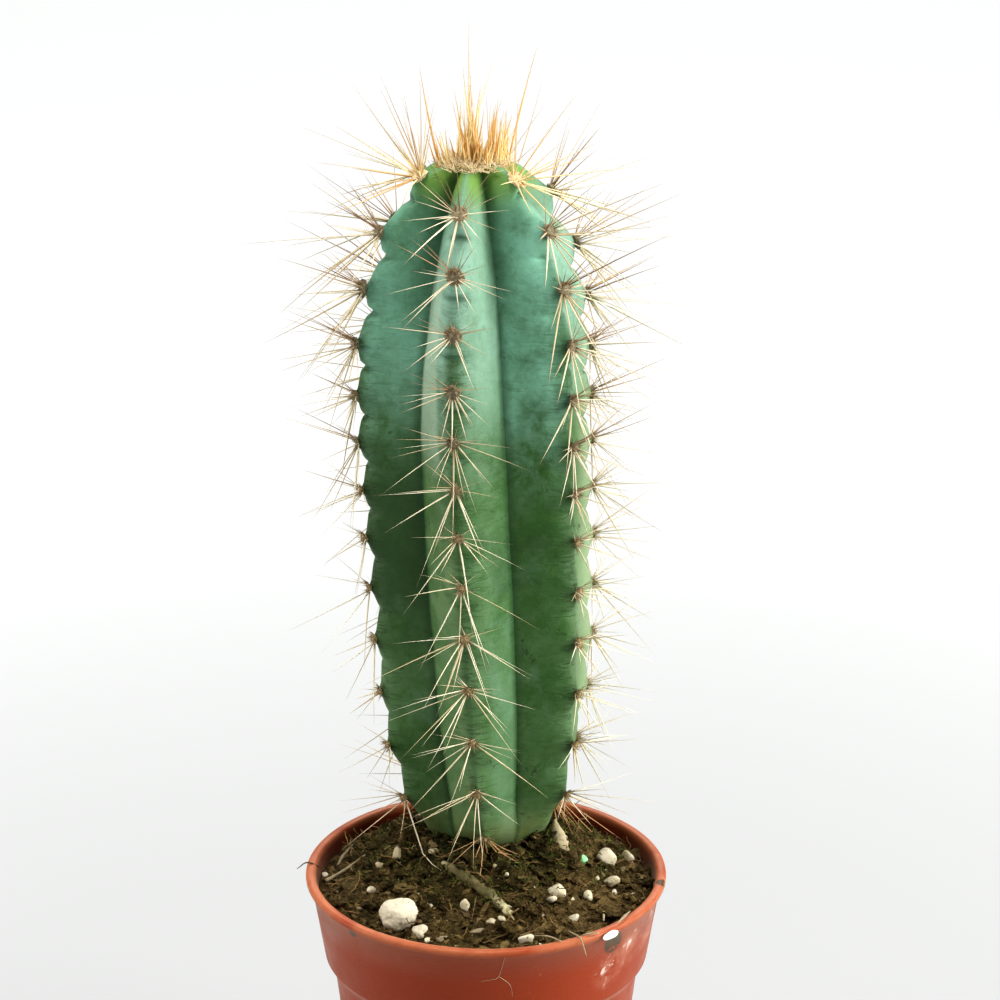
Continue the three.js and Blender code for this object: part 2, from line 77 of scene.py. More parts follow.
lens = bpy.data.cameras.new("camera")
lens.lens = CAMERA_LENS
lens.sensor_width = 36
camera = new_object("camera", lens)
camera.location = CAMERA_PLACE
camera.rotation_euler = (math.pi / 2 - CAMERA_PITCH, 0, 0)
scene.camera = camera

for name, (place, width, height, power, colour) in LIGHTS.items():
    lamp = bpy.data.lights.new(name, "AREA")
    lamp.shape = "RECTANGLE"
    lamp.size = width
    lamp.size_y = height
    lamp.energy = power
    lamp.color = colour
    light = new_object(name, lamp)
    light.location = place
    light.rotation_euler = (LIGHT_AIM - Vector(place)).to_track_quat("-Z", "Y").to_euler()

world = bpy.data.worlds.new("room")
world.use_nodes = True
room = world.node_tree.nodes["Background"]
room.inputs["Color"].default_value = (0.93, 0.97, 1.0, 1)
room.inputs["Strength"].default_value = 0.04
scene.world = world


class Wire:
    """A socket in a node tree, which formulas can combine with numbers and other wires."""

    def __init__(self, socket):
        self.socket = socket

    def do(self, operation, *others):
        """A Math node that starts with this wire."""
        node = self.socket.id_data.nodes.new("ShaderNodeMath")
        node.operation = operation
        for slot, value in zip(node.inputs, (self, *others)):
            plug(slot, value)
        return Wire(node.outputs[0])

    __add__ = __radd__ = partialmethod(do, "ADD")
    __mul__ = __rmul__ = partialmethod(do, "MULTIPLY")
    __sub__ = partialmethod(do, "SUBTRACT")
    __truediv__ = partialmethod(do, "DIVIDE")
    __pow__ = partialmethod(do, "POWER")

    def __neg__(self):
        return self * -1.0

    def __rsub__(self, other):
        return -self + other

    def clamped(self):
        return self.do("MINIMUM", 1.0).do("MAXIMUM", 0.0)

    def between(self, low, high, start=0.0, end=1.0, kind="SMOOTHSTEP"):
        """start up to low, end from high on, and a smooth turn between them."""
        ends = {"From_Min": low, "From_Max": high, "To_Min": start, "To_Max": end}
        tree = Tree(self.socket.id_data)
        return tree.add("ShaderNodeMapRange", "Result", interpolation_type=kind, Value=self, **ends)

    def fading(self, low, high):
        """1 up to low, 0 from high on."""
        return self.between(low, high, 1.0, 0.0)

    def vector(self, operation, other=None, scale=None):
        """A Vector Math node that starts with this wire."""
        node = self.socket.id_data.nodes.new("ShaderNodeVectorMath")
        node.operation = operation
        plug(node.inputs[0], self)
        plug(node.inputs[1], other)
        if scale is not None:
            plug(node.inputs["Scale"], scale)
        return Wire(node.outputs["Value" if operation in ("LENGTH", "DISTANCE") else "Vector"])

    def scaled(self, factor):
        return self.vector("SCALE", scale=factor)

    def parts(self):
        """The x, y and z of a vector."""
        node = self.socket.id_data.nodes.new("ShaderNodeSeparateXYZ")
        plug(node.inputs[0], self)
        return [Wire(socket) for socket in node.outputs]

    def beside(self, name):
        """Another output of the same node."""
        return Wire(self.socket.node.outputs[name])


def plug(slot, value):
    """Links a wire to a socket, or sets the socket to a plain value."""
    if isinstance(value, Wire):
        slot.id_data.links.new(value.socket, slot)
    elif value is not None:
        slot.default_value = value


class Tree:
    """A node tree that grows: its methods add nodes and return their outputs as wires."""

    def __init__(self, made):
        self.made = made

    def add(self, kind, out=0, **values):
        """A new node. Names with a capital are its inputs, the others are its settings."""
        node = self.made.nodes.new(kind)
        for name, value in values.items():
            if name.islower():
                setattr(node, name, value)
        for name, value in values.items():
            if not name.islower():
                plug(node.inputs[name.replace("_", " ")], value)
        return Wire(node.outputs[out])

    def use(self, group, **inputs):
        """A node group as a node of this tree."""
        kind = self.made.bl_idname.replace("Tree", "Group")
        return self.add(kind, node_tree=group.made, **inputs)

    def noise(self, scale, detail=3.0, roughness=0.55, distortion=0.0, at=None):
        """Cloudy noise from 0 to 1, with scale in features per metre."""
        values = {"Scale": scale, "Detail": detail, "Roughness": roughness, "Distortion": distortion}
        return self.add("ShaderNodeTexNoise", "Fac", Vector=at or self.place, **values)


class Look(Tree):
    """A material whose colour is laid on in layers, in the object's own coordinates."""

    def __init__(self, name):
        self.material = bpy.data.materials.new(name)
        self.material.use_nodes = True
        super().__init__(self.material.node_tree)
        self.place = self.add("ShaderNodeTexCoord", "Object")

    def set(self, **values):
        """Sets or links inputs of the Principled shader."""
        for name, value in values.items():
            plug(self.made.nodes["Principled BSDF"].inputs[name.replace("_", " ")], value)

    def attribute(self, name):
        return self.add("ShaderNodeAttribute", "Fac", attribute_name=name)

    def stretched(self, scale):
        """The object's coordinates, scaled along each axis."""
        return self.add("ShaderNodeMapping", Vector=self.place, Scale=scale)

    def mix(self, factor, first, second):
        """A colour between two."""
        node = self.made.nodes.new("ShaderNodeMix")
        node.data_type = "RGBA"
        plug(node.inputs[0], factor)
        for slot, value in ((6, first), (7, second)):
            plug(node.inputs[slot], value if isinstance(value, Wire) else (*value, 1))
        return Wire(node.outputs[2])

    def start(self, factor, dark, pale):
        """The first layer of colour."""
        self.colour = self.mix(factor, dark, pale)

    def lay(self, mask, colour):
        """Another layer of colour, where the mask is over 0."""
        self.colour = self.mix(mask, self.colour, colour)

    def bump(self, height, distance, strength=1.0):
        self.set(Normal=self.add("ShaderNodeBump", Height=height, Strength=strength, Distance=distance))

    def done(self, roughness, specular):
        self.set(Base_Color=self.colour, Roughness=roughness, Specular_IOR_Level=specular)
        return self.material


def white_table():
    """Paper white that glows less near the pot, a painted shade there, so that the pot still darkens it."""
    look = Look("white_table")
    # The glow is lower near the pot: painted shade.
    glow_with_painted_shade = look.place.vector("LENGTH").between(0.12, 0.62, GLOW_IN_PAINTED_SHADE, GLOW_FAR)
    look.set(Base_Color=(0.12, 0.12, 0.12, 1), Roughness=1.0, Specular_IOR_Level=0.0)
    look.set(Emission_Color=(0.985, 1.0, 0.99, 1), Emission_Strength=glow_with_painted_shade)
    return look.material


table_mesh = bpy.data.meshes.new("table")
table_turns = [2 * math.pi * side / TABLE_SIDES for side in range(TABLE_SIDES)]
table_ring = [(TABLE_RADIUS * math.cos(turn), TABLE_RADIUS * math.sin(turn), 0) for turn in table_turns]
table_mesh.from_pydata(table_ring, [], [list(range(TABLE_SIDES))])
table = new_object("table", table_mesh, white_table())


# The nursery pot: one thin injection moulding of terracotta-coloured plastic, with a rolled bead
# round its mouth, a deep collar, a step to stack by, a tapered wall and a floor with drain holes.
POT_SIDES = 192
POT_WALL = 1.2
POT_HEIGHT = 80
RIM_RADIUS = 45
COLLAR_TOP = (43.7, 77.9)
COLLAR_FOOT = (40.5, 58.6)
COLLAR_SLOPE = (COLLAR_TOP[0] - COLLAR_FOOT[0]) / (COLLAR_TOP[1] - COLLAR_FOOT[1])
STEP_FOOT = (38.3, 55.3)
BASE_EDGE = (31.5, 1.0)
FLOOR_TOP = 1.8
DRAIN_COUNT = 6
DRAIN_RADIUS = 3
DRAIN_CIRCLE = 20
DRILL_SIDES = 24
DRILL_ENDS = (-2, 4)
OUT_OF_ROUND = 0.0018
RIM_WAVE = 0.12


def ring_faces(sides, rings):
    """Faces round a closed tube of rings, whose points come between those of its two poles."""

    def at(ring, side):
        return 1 + ring * sides + side % sides

    high_pole = 1 + sides * rings
    faces = []
    for side in range(sides):
        faces.append((0, at(0, side + 1), at(0, side)))
        faces.append((high_pole, at(rings - 1, side), at(rings - 1, side + 1)))
        for ring in range(rings - 1):
            faces.append((at(ring, side), at(ring, side + 1), at(ring + 1, side + 1), at(ring + 1, side)))
    return faces


def mesh_of(name, points, faces, smooth=True):
    """A mesh from points in mm."""
    mesh = bpy.data.meshes.new(name)
    mesh.from_pydata([[value * MM for value in point] for point in points], [], faces)
    mesh.polygons.foreach_set("use_smooth", [smooth] * len(mesh.polygons))
    return mesh


def ringed_mesh(name, rings, low_pole, high_pole):
    """A closed mesh through rings of points of one length, with a fan at each end."""
    points = [low_pole, *(point for ring in rings for point in ring), high_pole]
    return mesh_of(name, points, ring_faces(len(rings[0]), len(rings)))


def applied(made):
    """Bakes an object's modifiers into a plain mesh and takes the modifiers off."""
    evaluated = made.evaluated_get(bpy.context.evaluated_depsgraph_get())
    mesh = bpy.data.meshes.new_from_object(evaluated)
    made.modifiers.clear()
    made.data = mesh
    return made


def pot_outline():
    """Radius and height round the wall's section, from the middle of the underside to that of the floor."""
    outside = [(0, 0), (30.2, 0), (30.9, 0.15), (31.35, 0.5), BASE_EDGE]
    outside += [(36.9, 44), (38.1, 54.2), STEP_FOOT, (38.55, 55.9), (40.2, 57.9), (40.45, 58.3), COLLAR_FOOT]
    outside += [(40.75, 60), (42.2, 69), COLLAR_TOP]
    bead = [(44.3, 78.0), (44.75, 78.25), (44.97, 78.7), (RIM_RADIUS, 79.1), (44.93, 79.5)]
    bead += [(44.7, 79.82), (44.3, 79.98), (43.7, POT_HEIGHT), (43.1, 79.96), (42.7, 79.75), (42.5, 79.3)]
    inside = [(radius - POT_WALL, z) for radius, z in reversed(outside[5:])]
    return outside + bead + inside + [(30.5, 2.3), (30.1, 1.95), (29.4, FLOOR_TOP), (0, FLOOR_TOP)]


def around(radius, azimuth, z):
    """A point round the pot's axis. Azimuth 0 is the front, and it grows towards the right."""
    return (radius * math.sin(azimuth), -radius * math.cos(azimuth), z)


pot_rings = []
for radius, z in pot_outline()[1:-1]:
    ring = []
    for side in range(POT_SIDES):
        azimuth = 2 * math.pi * side / POT_SIDES
        pressed = 1 + OUT_OF_ROUND * math.sin(2 * azimuth + 0.8) * z / POT_HEIGHT
        wave = RIM_WAVE * math.sin(3 * azimuth + 1.1) * (z / POT_HEIGHT) ** 6
        ring.append(around(radius * pressed, azimuth, z - abs(wave)))
    pot_rings.append(ring)
nursery_pot = new_object("nursery_pot", ringed_mesh("nursery_pot", pot_rings, (0, 0, 0), (0, 0, FLOOR_TOP)))

drill_points = []
drill_faces = []
for hole in range(DRAIN_COUNT):
    x, y, _ = around(DRAIN_CIRCLE, 2 * math.pi * (hole + 0.5) / DRAIN_COUNT, 0)
    low = range(len(drill_points), len(drill_points) + DRILL_SIDES)
    high = [corner + DRILL_SIDES for corner in low]
    for z in DRILL_ENDS:
        for side in range(DRILL_SIDES):
            turn = 2 * math.pi * side / DRILL_SIDES
            drill_points.append((x + DRAIN_RADIUS * math.cos(turn), y + DRAIN_RADIUS * math.sin(turn), z))
    for side in range(DRILL_SIDES):
        after = (side + 1) % DRILL_SIDES
        drill_faces.append((low[side], low[after], high[after], high[side]))
    drill_faces += [list(reversed(low)), high]
drills = new_object("drain_drills", mesh_of("drain_drills", drill_points, drill_faces, False))
cut = nursery_pot.modifiers.new("drain_holes", "BOOLEAN")
cut.operation = "DIFFERENCE"
cut.object = drills
applied(nursery_pot)
bpy.data.objects.remove(drills)


class Group(Tree):
    """A node group with named sockets, which gives its inputs as wires by their names."""

    def __init__(self, name, kind, inputs, outputs):
        super().__init__(bpy.data.node_groups.new(name, kind))
        self.inputs = inputs
        kinds = {float: "Float", int: "Int", tuple: "Vector", type(None): "Geometry"}
        kinds[bpy.types.Material] = "Material"
        labels = [(label, "INPUT", kinds[type(default)], default) for label, default in inputs.items()]
        labels += [(label, "OUTPUT", kind_of_output, None) for label, kind_of_output in outputs.items()]
        for label, side, socket, default in labels:
            made = self.made.interface.new_socket(name=label, in_out=side, socket_type="NodeSocket" + socket)
            if default is not None:
                made.default_value = default
        self.entry = self.made.nodes.new("NodeGroupInput")
        self.exit = self.made.nodes.new("NodeGroupOutput")

    def __getitem__(self, label):
        return Wire(self.entry.outputs[label])

    def give(self, **outputs):
        """Links wires to the group's outputs."""
        for name, value in outputs.items():
            plug(self.exit.inputs[name.replace("_", " ")], value)


def mottle_patches():
    """Patches with soft edges: how dirty, damp or bleached a surface is at each place, and where painted
    light and shade fall.
    """
    inputs = {"Place": (0.0, 0.0, 0.0), "Scale": 100.0, "Start": 0.5, "Width": 0.15}
    group = Group("Mottle", "ShaderNodeTree", inputs, {"Mask": "Float"})
    cloud = group.noise(group["Scale"], 5.0, 0.6, 0.4, group["Place"])
    group.give(Mask=cloud.between(group["Start"], group["Start"] + group["Width"]))
    return group


mottle_group = mottle_patches()


def mottle(look, scale, start, width=0.15):
    """The Mottle group in a material, with its own values."""
    return look.use(mottle_group, Place=look.place, Scale=scale, Start=start, Width=width)


def spots(look, *rows):
    """1 in the middle of each spot, falling to 0 at its radius. A row is a place and a radius in mm."""
    found = []
    for *centre, radius in rows:
        distance = look.place.vector("DISTANCE", tuple(value * MM for value in centre))
        found.append((1.0 - distance / (radius * MM)).do("MAXIMUM", 0.0))
    highest = found[0]
    for spot in found[1:]:
        highest = highest.do("MAXIMUM", spot)
    return highest


def pot_plastic():
    look = Look("pot_plastic")
    x, y, z = look.place.parts()
    look.start(look.noise(24.0, 2.0), (0.235, 0.031, 0.007), (0.28, 0.043, 0.011))
    look.lay(mottle(look, 900.0, 0.66, 0.05) * 0.3, (0.50, 0.17, 0.09))
    # Painted highlight: the bead is painted paler in patches, along the top of the rim
    painted_bead_highlight = z.between(77.6 * MM, 79.2 * MM)
    look.lay(painted_bead_highlight * mottle(look, 75.0, 0.25, 0.3) * 0.36, (0.60, 0.25, 0.12))
    # Flecks of dried lime run down the right side of the collar
    stains = spots(look, (39.9, -15.1, 71.8, 8.0), (35.1, -23.9, 70.7, 7.0), (30.1, -29.2, 67.4, 7.0))
    flecks = stains.between(0.1, 0.7) * mottle(look, 330.0, 0.57, 0.12)
    look.lay(stains.between(0.0, 0.9) * mottle(look, 130.0, 0.35, 0.3) * 0.4, (0.62, 0.36, 0.26))
    look.lay(flecks * 0.65, (0.80, 0.68, 0.62))
    # Specks of dirt under the bead and on it
    dirt = spots(look, (-32.0, -29.1, 77.3, 1.9), (30.6, -30.2, 75.2, 4.2), (43.6, -8.2, 80.0, 2.1))
    look.lay(dirt.between(0.1, 0.4) * mottle(look, 330.0, 0.40, 0.08) * 0.95, (0.036, 0.030, 0.012))
    # Peat rubbed on the inside of the collar
    outer = COLLAR_FOOT[0] * MM + (z - COLLAR_FOOT[1] * MM) * COLLAR_SLOPE
    from_outer = outer - (x * x + y * y) ** 0.5
    inside = from_outer.between(0.5 * MM, 0.9 * MM) * z.between(COLLAR_FOOT[1] * MM, 66 * MM)
    smear = inside * z.fading(73 * MM, 79.5 * MM) * mottle(look, 160.0, 0.42, 0.2)
    look.lay(smear * 0.6, (0.06, 0.03, 0.015))
    look.set(Sheen_Weight=0.22, Sheen_Roughness=0.4, Sheen_Tint=(1.0, 0.78, 0.58, 1))
    scratch = look.noise(220.0, 2.0, 0.5, 1.5, look.stretched((1.0, 1.0, 5.0))).between(0.49, 0.51)
    orange_peel = look.noise(700.0, 2.0)
    look.bump(orange_peel * 0.5 + scratch * 0.35 + flecks * 0.6, 0.00006, 0.6)
    return look.done(look.noise(130.0).between(0.3, 0.7, 0.34, 0.48) + flecks * 0.3, 0.16)


nursery_pot.data.materials.clear()
nursery_pot.data.materials.append(pot_plastic())
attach(nursery_pot, "root")
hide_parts("pot")


# The potting mix: damp peat that was heaped round the stem and slopes away to the front, with a
# plain hole for the root stock. Its crumbs, moss and fibres are scattered on it by a fixed seed.
SEAT_GAP = 0.3
SOIL_EDGE_Z = 75.6
SOIL_TILT = 0.044
MOUND_HEIGHT = 11.5
MOUND_FLAT = 14
MOUND_SPREAD = 22
MOUND_WALL_FADE = 0.6
FOOT = Vector((0.2, 13, 86))
NECK_RADIUS = 14.7
ROOT_DEPTH = 30
ROOT_TAPER = 1.6
ROOT_RINGS = (4, 8, 13, 18, 23, 27, 29.5)
SOIL_SIDES = 300
SOIL_RINGS = 80
CLODS = 2.0
PELLETS = 1.5
LUMPS = 0.8
FULL_TURN = 6.28
WHOLE_BED = 90.0
CRUMB_REACH = 40.5
FIBRE_REACH = 41.0
LOWEST_CRUMB = 70


def wall_radius(z):
    """The pot's inner radius at a height."""
    points = [BASE_EDGE, STEP_FOOT, COLLAR_FOOT, COLLAR_TOP]
    for (low_radius, low_z), (high_radius, high_z) in zip(points, points[1:]):
        if z <= high_z:
            break
    share = (z - low_z) / (high_z - low_z)
    return low_radius + (high_radius - low_radius) * share - POT_WALL


def soil_height(x, y):
    from_axis = min(1.0, math.hypot(x, y) / wall_radius(SOIL_EDGE_Z))
    past_mound = max(math.hypot(x - FOOT.x, y - FOOT.y) - MOUND_FLAT, 0)
    fade = (1 - from_axis**2) ** MOUND_WALL_FADE
    return SOIL_EDGE_Z - SOIL_TILT * y + MOUND_HEIGHT * fade * math.exp(-((past_mound / MOUND_SPREAD) ** 2))


def crumbled(x, y):
    """Height of the peat's surface with its clods, rounded pellets and lumps."""
    clods = noise.fractal(Vector((x, y, 3.0)) / 7, 1.0, 2.0, 3)
    nearest = noise.voronoi(Vector((x, y, 5.0)) / 3.4)[0][0]
    lumps = noise.fractal(Vector((x, y, 9.0)) / 1.7, 0.8, 2.0, 2)
    return soil_height(x, y) + CLODS * clods + PELLETS * (0.45 - min(nearest, 0.9)) + LUMPS * lumps


def to_wall(direction):
    """How far the wall is from the stem's axis along a level direction."""
    reach = wall_radius(SOIL_EDGE_Z) - SEAT_GAP
    along = FOOT.xy.dot(direction)
    return -along + math.sqrt(along**2 + reach**2 - FOOT.xy.length_squared)


soil_directions = []
for side in range(SOIL_SIDES):
    turn = 2 * math.pi * side / SOIL_SIDES
    soil_directions.append(Vector((math.cos(turn), math.sin(turn))))
edge_points = [FOOT.xy + direction * to_wall(direction) for direction in soil_directions]
soil_rings = []
for z in (FLOOR_TOP + SEAT_GAP, 20, 40, STEP_FOOT[1], COLLAR_FOOT[1], 66, 71):
    soil_rings.append([(*(point.normalized() * (wall_radius(z) - SEAT_GAP)), z) for point in edge_points])
for ring in range(SOIL_RINGS + 1):
    share = 1 - ring / SOIL_RINGS
    points = []
    for direction in soil_directions:
        start = NECK_RADIUS + SEAT_GAP
        place = FOOT.xy + direction * (start + (to_wall(direction) - start) * share)
        points.append((place.x, place.y, crumbled(place.x, place.y)))
    soil_rings.append(points)
for depth in ROOT_RINGS:
    radius = NECK_RADIUS * (1 - (depth / ROOT_DEPTH) ** ROOT_TAPER) + SEAT_GAP
    soil_rings.append([(*(FOOT.xy + direction * radius), FOOT.z - depth) for direction in soil_directions])
soil_poles = ((0, 0, FLOOR_TOP + SEAT_GAP), (FOOT.x, FOOT.y, FOOT.z - ROOT_DEPTH - SEAT_GAP))
soil_mesh = ringed_mesh("potting_mix_bed", soil_rings, *soil_poles)
soil_bed = new_object("potting_mix_bed", soil_mesh)


def from_stem(place):
    """How far a place is from the stem's axis."""
    x, y, _ = place.parts()
    dx = x - FOOT.x * MM
    dy = y - FOOT.y * MM
    return (dx * dx + dy * dy) ** 0.5


def peat():
    look = Look("peat")
    fine = look.noise(1500.0, 5.0, 0.72).between(0.3, 0.72, kind="LINEAR")
    look.start(fine, (0.017, 0.011, 0.003), (0.235, 0.155, 0.050))
    look.lay(mottle(look, 90.0, 0.38, 0.25) * 0.5, (0.100, 0.067, 0.020))
    # Painted shade: near-black patches that stand in for the shadowed gaps between clumps.
    look.lay(mottle(look, 270.0, 0.50, 0.10) * 0.55, (0.012, 0.009, 0.003))
    look.lay(look.attribute("tint").between(0.6, 0.97) * 0.8, (0.36, 0.255, 0.100))
    # Painted shade round the foot of the stem, dark and greenish, and dry peat at the right
    stem_foot_painted_shade = from_stem(look.place).between(15 * MM, 36 * MM, 1.0, 0.1) * mottle(look, 90.0, 0.36, 0.16)
    look.lay(stem_foot_painted_shade * 0.8, (0.022, 0.031, 0.006))
    dry = look.place.parts()[0].between(6 * MM, 24 * MM) * mottle(look, 100.0, 0.44, 0.2)
    look.lay(dry * 0.6, (0.26, 0.175, 0.068))
    look.bump(fine + look.noise(3200.0, 2.0) * 0.5, 0.0007)
    return look.done(fine.between(0.2, 0.8, 0.98, 0.72), 0.15)


peat_look = peat()
soil_bed.data.materials.append(peat_look)


class Recipe(Group):
    """A Geometry Nodes group that makes a piece, with the nodes that such groups share."""

    def __init__(self, name, inputs, outputs=None):
        super().__init__(name, "GeometryNodeTree", inputs, outputs or {"Mesh": "Geometry"})

    @property
    def place(self):
        return self.add("GeometryNodeInputPosition")

    def luck(self, seed, low=0.0, high=1.0):
        """A number from low to high for each element."""
        node = self.made.nodes.new("FunctionNodeRandomValue")
        node.data_type = "FLOAT"
        for slot, value in ((2, low), (3, high), (8, seed)):
            plug(node.inputs[slot], value)
        return Wire(node.outputs[1])

    def xyz(self, x, y, z):
        return self.add("ShaderNodeCombineXYZ", X=x, Y=y, Z=z)

    def named(self, name, kind="FLOAT"):
        """A stored number of each element."""
        return self.add("GeometryNodeInputNamedAttribute", Name=name, data_type=kind)

    def direction(self, name):
        """A stored vector of each element."""
        return self.named(name, "FLOAT_VECTOR")

    def store(self, mesh, domain="POINT", **values):
        """Stores numbers or vectors by name."""
        for name, value in values.items():
            is_vector = isinstance(value, Wire) and value.socket.type == "VECTOR"
            kind = "FLOAT_VECTOR" if is_vector else "FLOAT"
            settings = {"data_type": kind, "domain": domain, "Name": name, "Value": value}
            mesh = self.add("GeometryNodeStoreNamedAttribute", Geometry=mesh, **settings)
        return mesh

    def moved(self, mesh, offset):
        return self.add("GeometryNodeSetPosition", Geometry=mesh, Offset=offset)

    def put(self, mesh, place, chosen=None):
        return self.add("GeometryNodeSetPosition", Geometry=mesh, Position=place, Selection=chosen)

    def copies(self, points, shape, turn, size, **values):
        """A copy of a shape at each point, with values stored for each copy."""
        sockets = {"Points": points, "Instance": shape, "Rotation": turn, "Scale": size}
        return self.store(self.add("GeometryNodeInstanceOnPoints", **sockets), "INSTANCE", **values)

    def realized(self, mesh):
        return self.add("GeometryNodeRealizeInstances", Geometry=mesh)

    def without(self, points, chosen):
        return self.add("GeometryNodeDeleteGeometry", Geometry=points, Selection=chosen, domain="POINT")

    def joined(self, *meshes):
        both = self.add("GeometryNodeJoinGeometry")
        for mesh in meshes:
            plug(both.socket.node.inputs[0], mesh)
        return both

    def dress(self, mesh):
        """Gives out the mesh in the material that the input Look says."""
        self.give(Mesh=self.add("GeometryNodeSetMaterial", Geometry=mesh, Material=self["Look"]))
        return self


def grown(name, recipe, mesh=None, **changes):
    """An object that a recipe makes from its inputs and the changes to them, as a plain mesh."""
    made = new_object(name, mesh or bpy.data.meshes.new(name))
    modifier = made.modifiers.new(name, "NODES")
    modifier.node_group = recipe.made
    values = recipe.inputs | changes
    for item in recipe.made.interface.items_tree:
        if item.in_out == "INPUT" and values[item.name] is not None:
            modifier[item.identifier] = values[item.name]
    return applied(made)


def bed_points(recipe):
    """Scatters points over the bed's upward faces, inside the wall and in a ring round the stem."""
    x, y, z = recipe.place.parts()
    upward = recipe.add("GeometryNodeInputNormal").parts()[2].do("GREATER_THAN", 0.2)
    inside = (x * x + y * y).do("LESS_THAN", (CRUMB_REACH * MM) ** 2)
    near = from_stem(recipe.place).do("LESS_THAN", recipe["Farthest"] * MM)
    sockets = {"Mesh": recipe["Bed"], "Density": recipe["Density"], "Seed": recipe["Seed"]}
    sockets["Selection"] = upward * z.do("GREATER_THAN", LOWEST_CRUMB * MM) * inside * near
    return recipe.add("GeometryNodeDistributePointsOnFaces", distribute_method="RANDOM", **sockets)


def crumb_recipe():
    """Strews uneven, flattened crumbs on the bed, more small ones than large."""
    inputs = {"Bed": None, "Density": 1000000.0, "Farthest": WHOLE_BED, "Smallest": 0.2, "Largest": 0.75}
    inputs |= {"Subdivisions": 1, "Roughness": 0.6, "Seed": 5, "Look": peat_look}
    recipe = Recipe("Crumbs", inputs)
    ball = recipe.add("GeometryNodeMeshIcoSphere", Radius=MM, Subdivisions=recipe["Subdivisions"])
    dent = recipe.noise(1300.0, 2.0).between(0.3, 0.7, -1.0, 1.0, "LINEAR") * recipe["Roughness"]
    ball = recipe.moved(ball, recipe.place.scaled(dent))
    size = recipe["Smallest"] + (recipe["Largest"] - recipe["Smallest"]) * recipe.luck(3) ** 3.0
    wide, deep, high = (recipe.luck(*row) for row in ((4, 0.75, 1.35), (5, 0.6, 1.1), (10, 0.45, 0.8)))
    squash = recipe.xyz(size * wide, size * deep, size * high)
    tip, roll, spin = (recipe.luck(*row) for row in ((6, -0.6, 0.6), (7, -0.6, 0.6), (8, 0.0, FULL_TURN)))
    turn = recipe.xyz(tip, roll, spin)
    crumbs = recipe.copies(bed_points(recipe), ball, turn, squash, tint=recipe.luck(9))
    return recipe.dress(recipe.realized(crumbs))


crumb_nodes = crumb_recipe()


def strewn(name, look, *values):
    """Crumbs all over the bed: how many a square metre, sizes in mm, subdivisions, roughness and seed."""
    labels = ("Density", "Smallest", "Largest", "Subdivisions", "Roughness", "Seed")
    return grown(name, crumb_nodes, soil_mesh.copy(), Look=look, **dict(zip(labels, values)))


crumbs = strewn("potting_mix_crumbs", peat_look)
clods = strewn("potting_mix_clods", peat_look, 26000.0, 1.1, 3.1, 3, 0.75, 14)
lumps = strewn("potting_mix_lumps", peat_look, 240000.0, 0.45, 1.75, 2, 0.62, 8)


def fibre_look(name, dark, pale):
    look = Look(name)
    look.start(look.attribute("tint"), dark, pale)
    look.lay(look.noise(700.0) * 0.5, dark)
    return look.done(0.85, 0.2)


bast = fibre_look("peat_fibre", (0.045, 0.024, 0.008), (0.33, 0.21, 0.085))
moss = fibre_look("moss", (0.014, 0.022, 0.003), (0.20, 0.23, 0.045))


def fibre_recipe():
    """Lays bent fibres on the bed: short strands of root and bark bast, or the stems of moss."""
    inputs = {"Bed": None, "Density": 90000.0, "Farthest": WHOLE_BED, "Length": 6.5, "Thickness": 0.13}
    inputs |= {"Wander": 4.0, "Rise": 0.5, "Seed": 11, "Look": bast}
    recipe = Recipe("Fibres", inputs)
    line = recipe.add("GeometryNodeMeshLine", Count=9, Offset=(0.125, 0, 0))
    strand = recipe.add("GeometryNodeMeshToCurve", Mesh=line)
    rise = recipe.luck(3, -1.0, 0.4) * recipe["Rise"]
    turn = recipe.xyz(recipe.luck(2, -0.3, 0.3), rise, recipe.luck(4, 0.0, FULL_TURN))
    size = recipe["Length"] * MM * (0.35 + recipe.luck(5) ** 2.0)
    points = recipe.moved(bed_points(recipe), (0, 0, 0.4 * MM))
    strands = recipe.copies(points, strand, turn, recipe.xyz(size, size, size), tint=recipe.luck(6))
    cloud = recipe.add("ShaderNodeTexNoise", "Color", Vector=recipe.place, Scale=260.0, Detail=1.0)
    wriggle = cloud.vector("SUBTRACT", (0.5, 0.5, 0.56)).scaled(recipe["Wander"] * MM)
    strands = recipe.moved(recipe.realized(strands), wriggle)
    # What would poke through the pot's wall is drawn back inside it
    x, y, z = recipe.place.parts()
    radius = (x * x + y * y) ** 0.5
    shrink = (radius.do("MAXIMUM", MM) ** -1.0 * (FIBRE_REACH * MM)).do("MINIMUM", 1.0)
    strands = recipe.put(strands, recipe.xyz(x * shrink, y * shrink, z))
    profile = recipe.add("GeometryNodeCurvePrimitiveCircle", Resolution=4, Radius=MM)
    sockets = {"Curve": strands, "Profile_Curve": profile, "Fill_Caps": True}
    thick = recipe["Thickness"] * recipe.luck(12, 0.7, 1.4)
    return recipe.dress(recipe.add("GeometryNodeCurveToMesh", Scale=thick, **sockets))


fibre_nodes = fibre_recipe()
fibres = grown("potting_mix_fibres", fibre_nodes, soil_mesh.copy())
stems = {"Density": 420000.0, "Farthest": 36.0, "Length": 1.9, "Thickness": 0.11, "Wander": 2.5}
stems |= {"Rise": 1.2, "Seed": 19, "Look": moss}
moss_stems = grown("potting_mix_moss", fibre_nodes, soil_mesh.copy(), **stems)

for piece in (soil_bed, crumbs, clods, lumps, fibres, moss_stems):
    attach(piece, "root")
    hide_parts("potting_mix")


# The stem: one ribbed column of waxy blue-green skin, drawn in at the soil and blunt at the crown.
# It grew round its axis by a rule, so its skin is a grid that a formula wraps into the ribs.
STEM_HEIGHT = 171.0
RIBS = 6
RIB_PHASES = [0.34, 0.94, 0.30, 0.10, 0.55, 0.80]
AREOLE_SPACING = 13.2
CREST_RADIUS = 29.8
TOP_NUMBER = 12.955
ROOT_NUMBER = -ROOT_DEPTH / AREOLE_SPACING
SKIN_COLUMNS = RIBS * 26
SKIN_ROWS = 300
ROW_CROWDING = 1.5
PEAK_END = 0.56


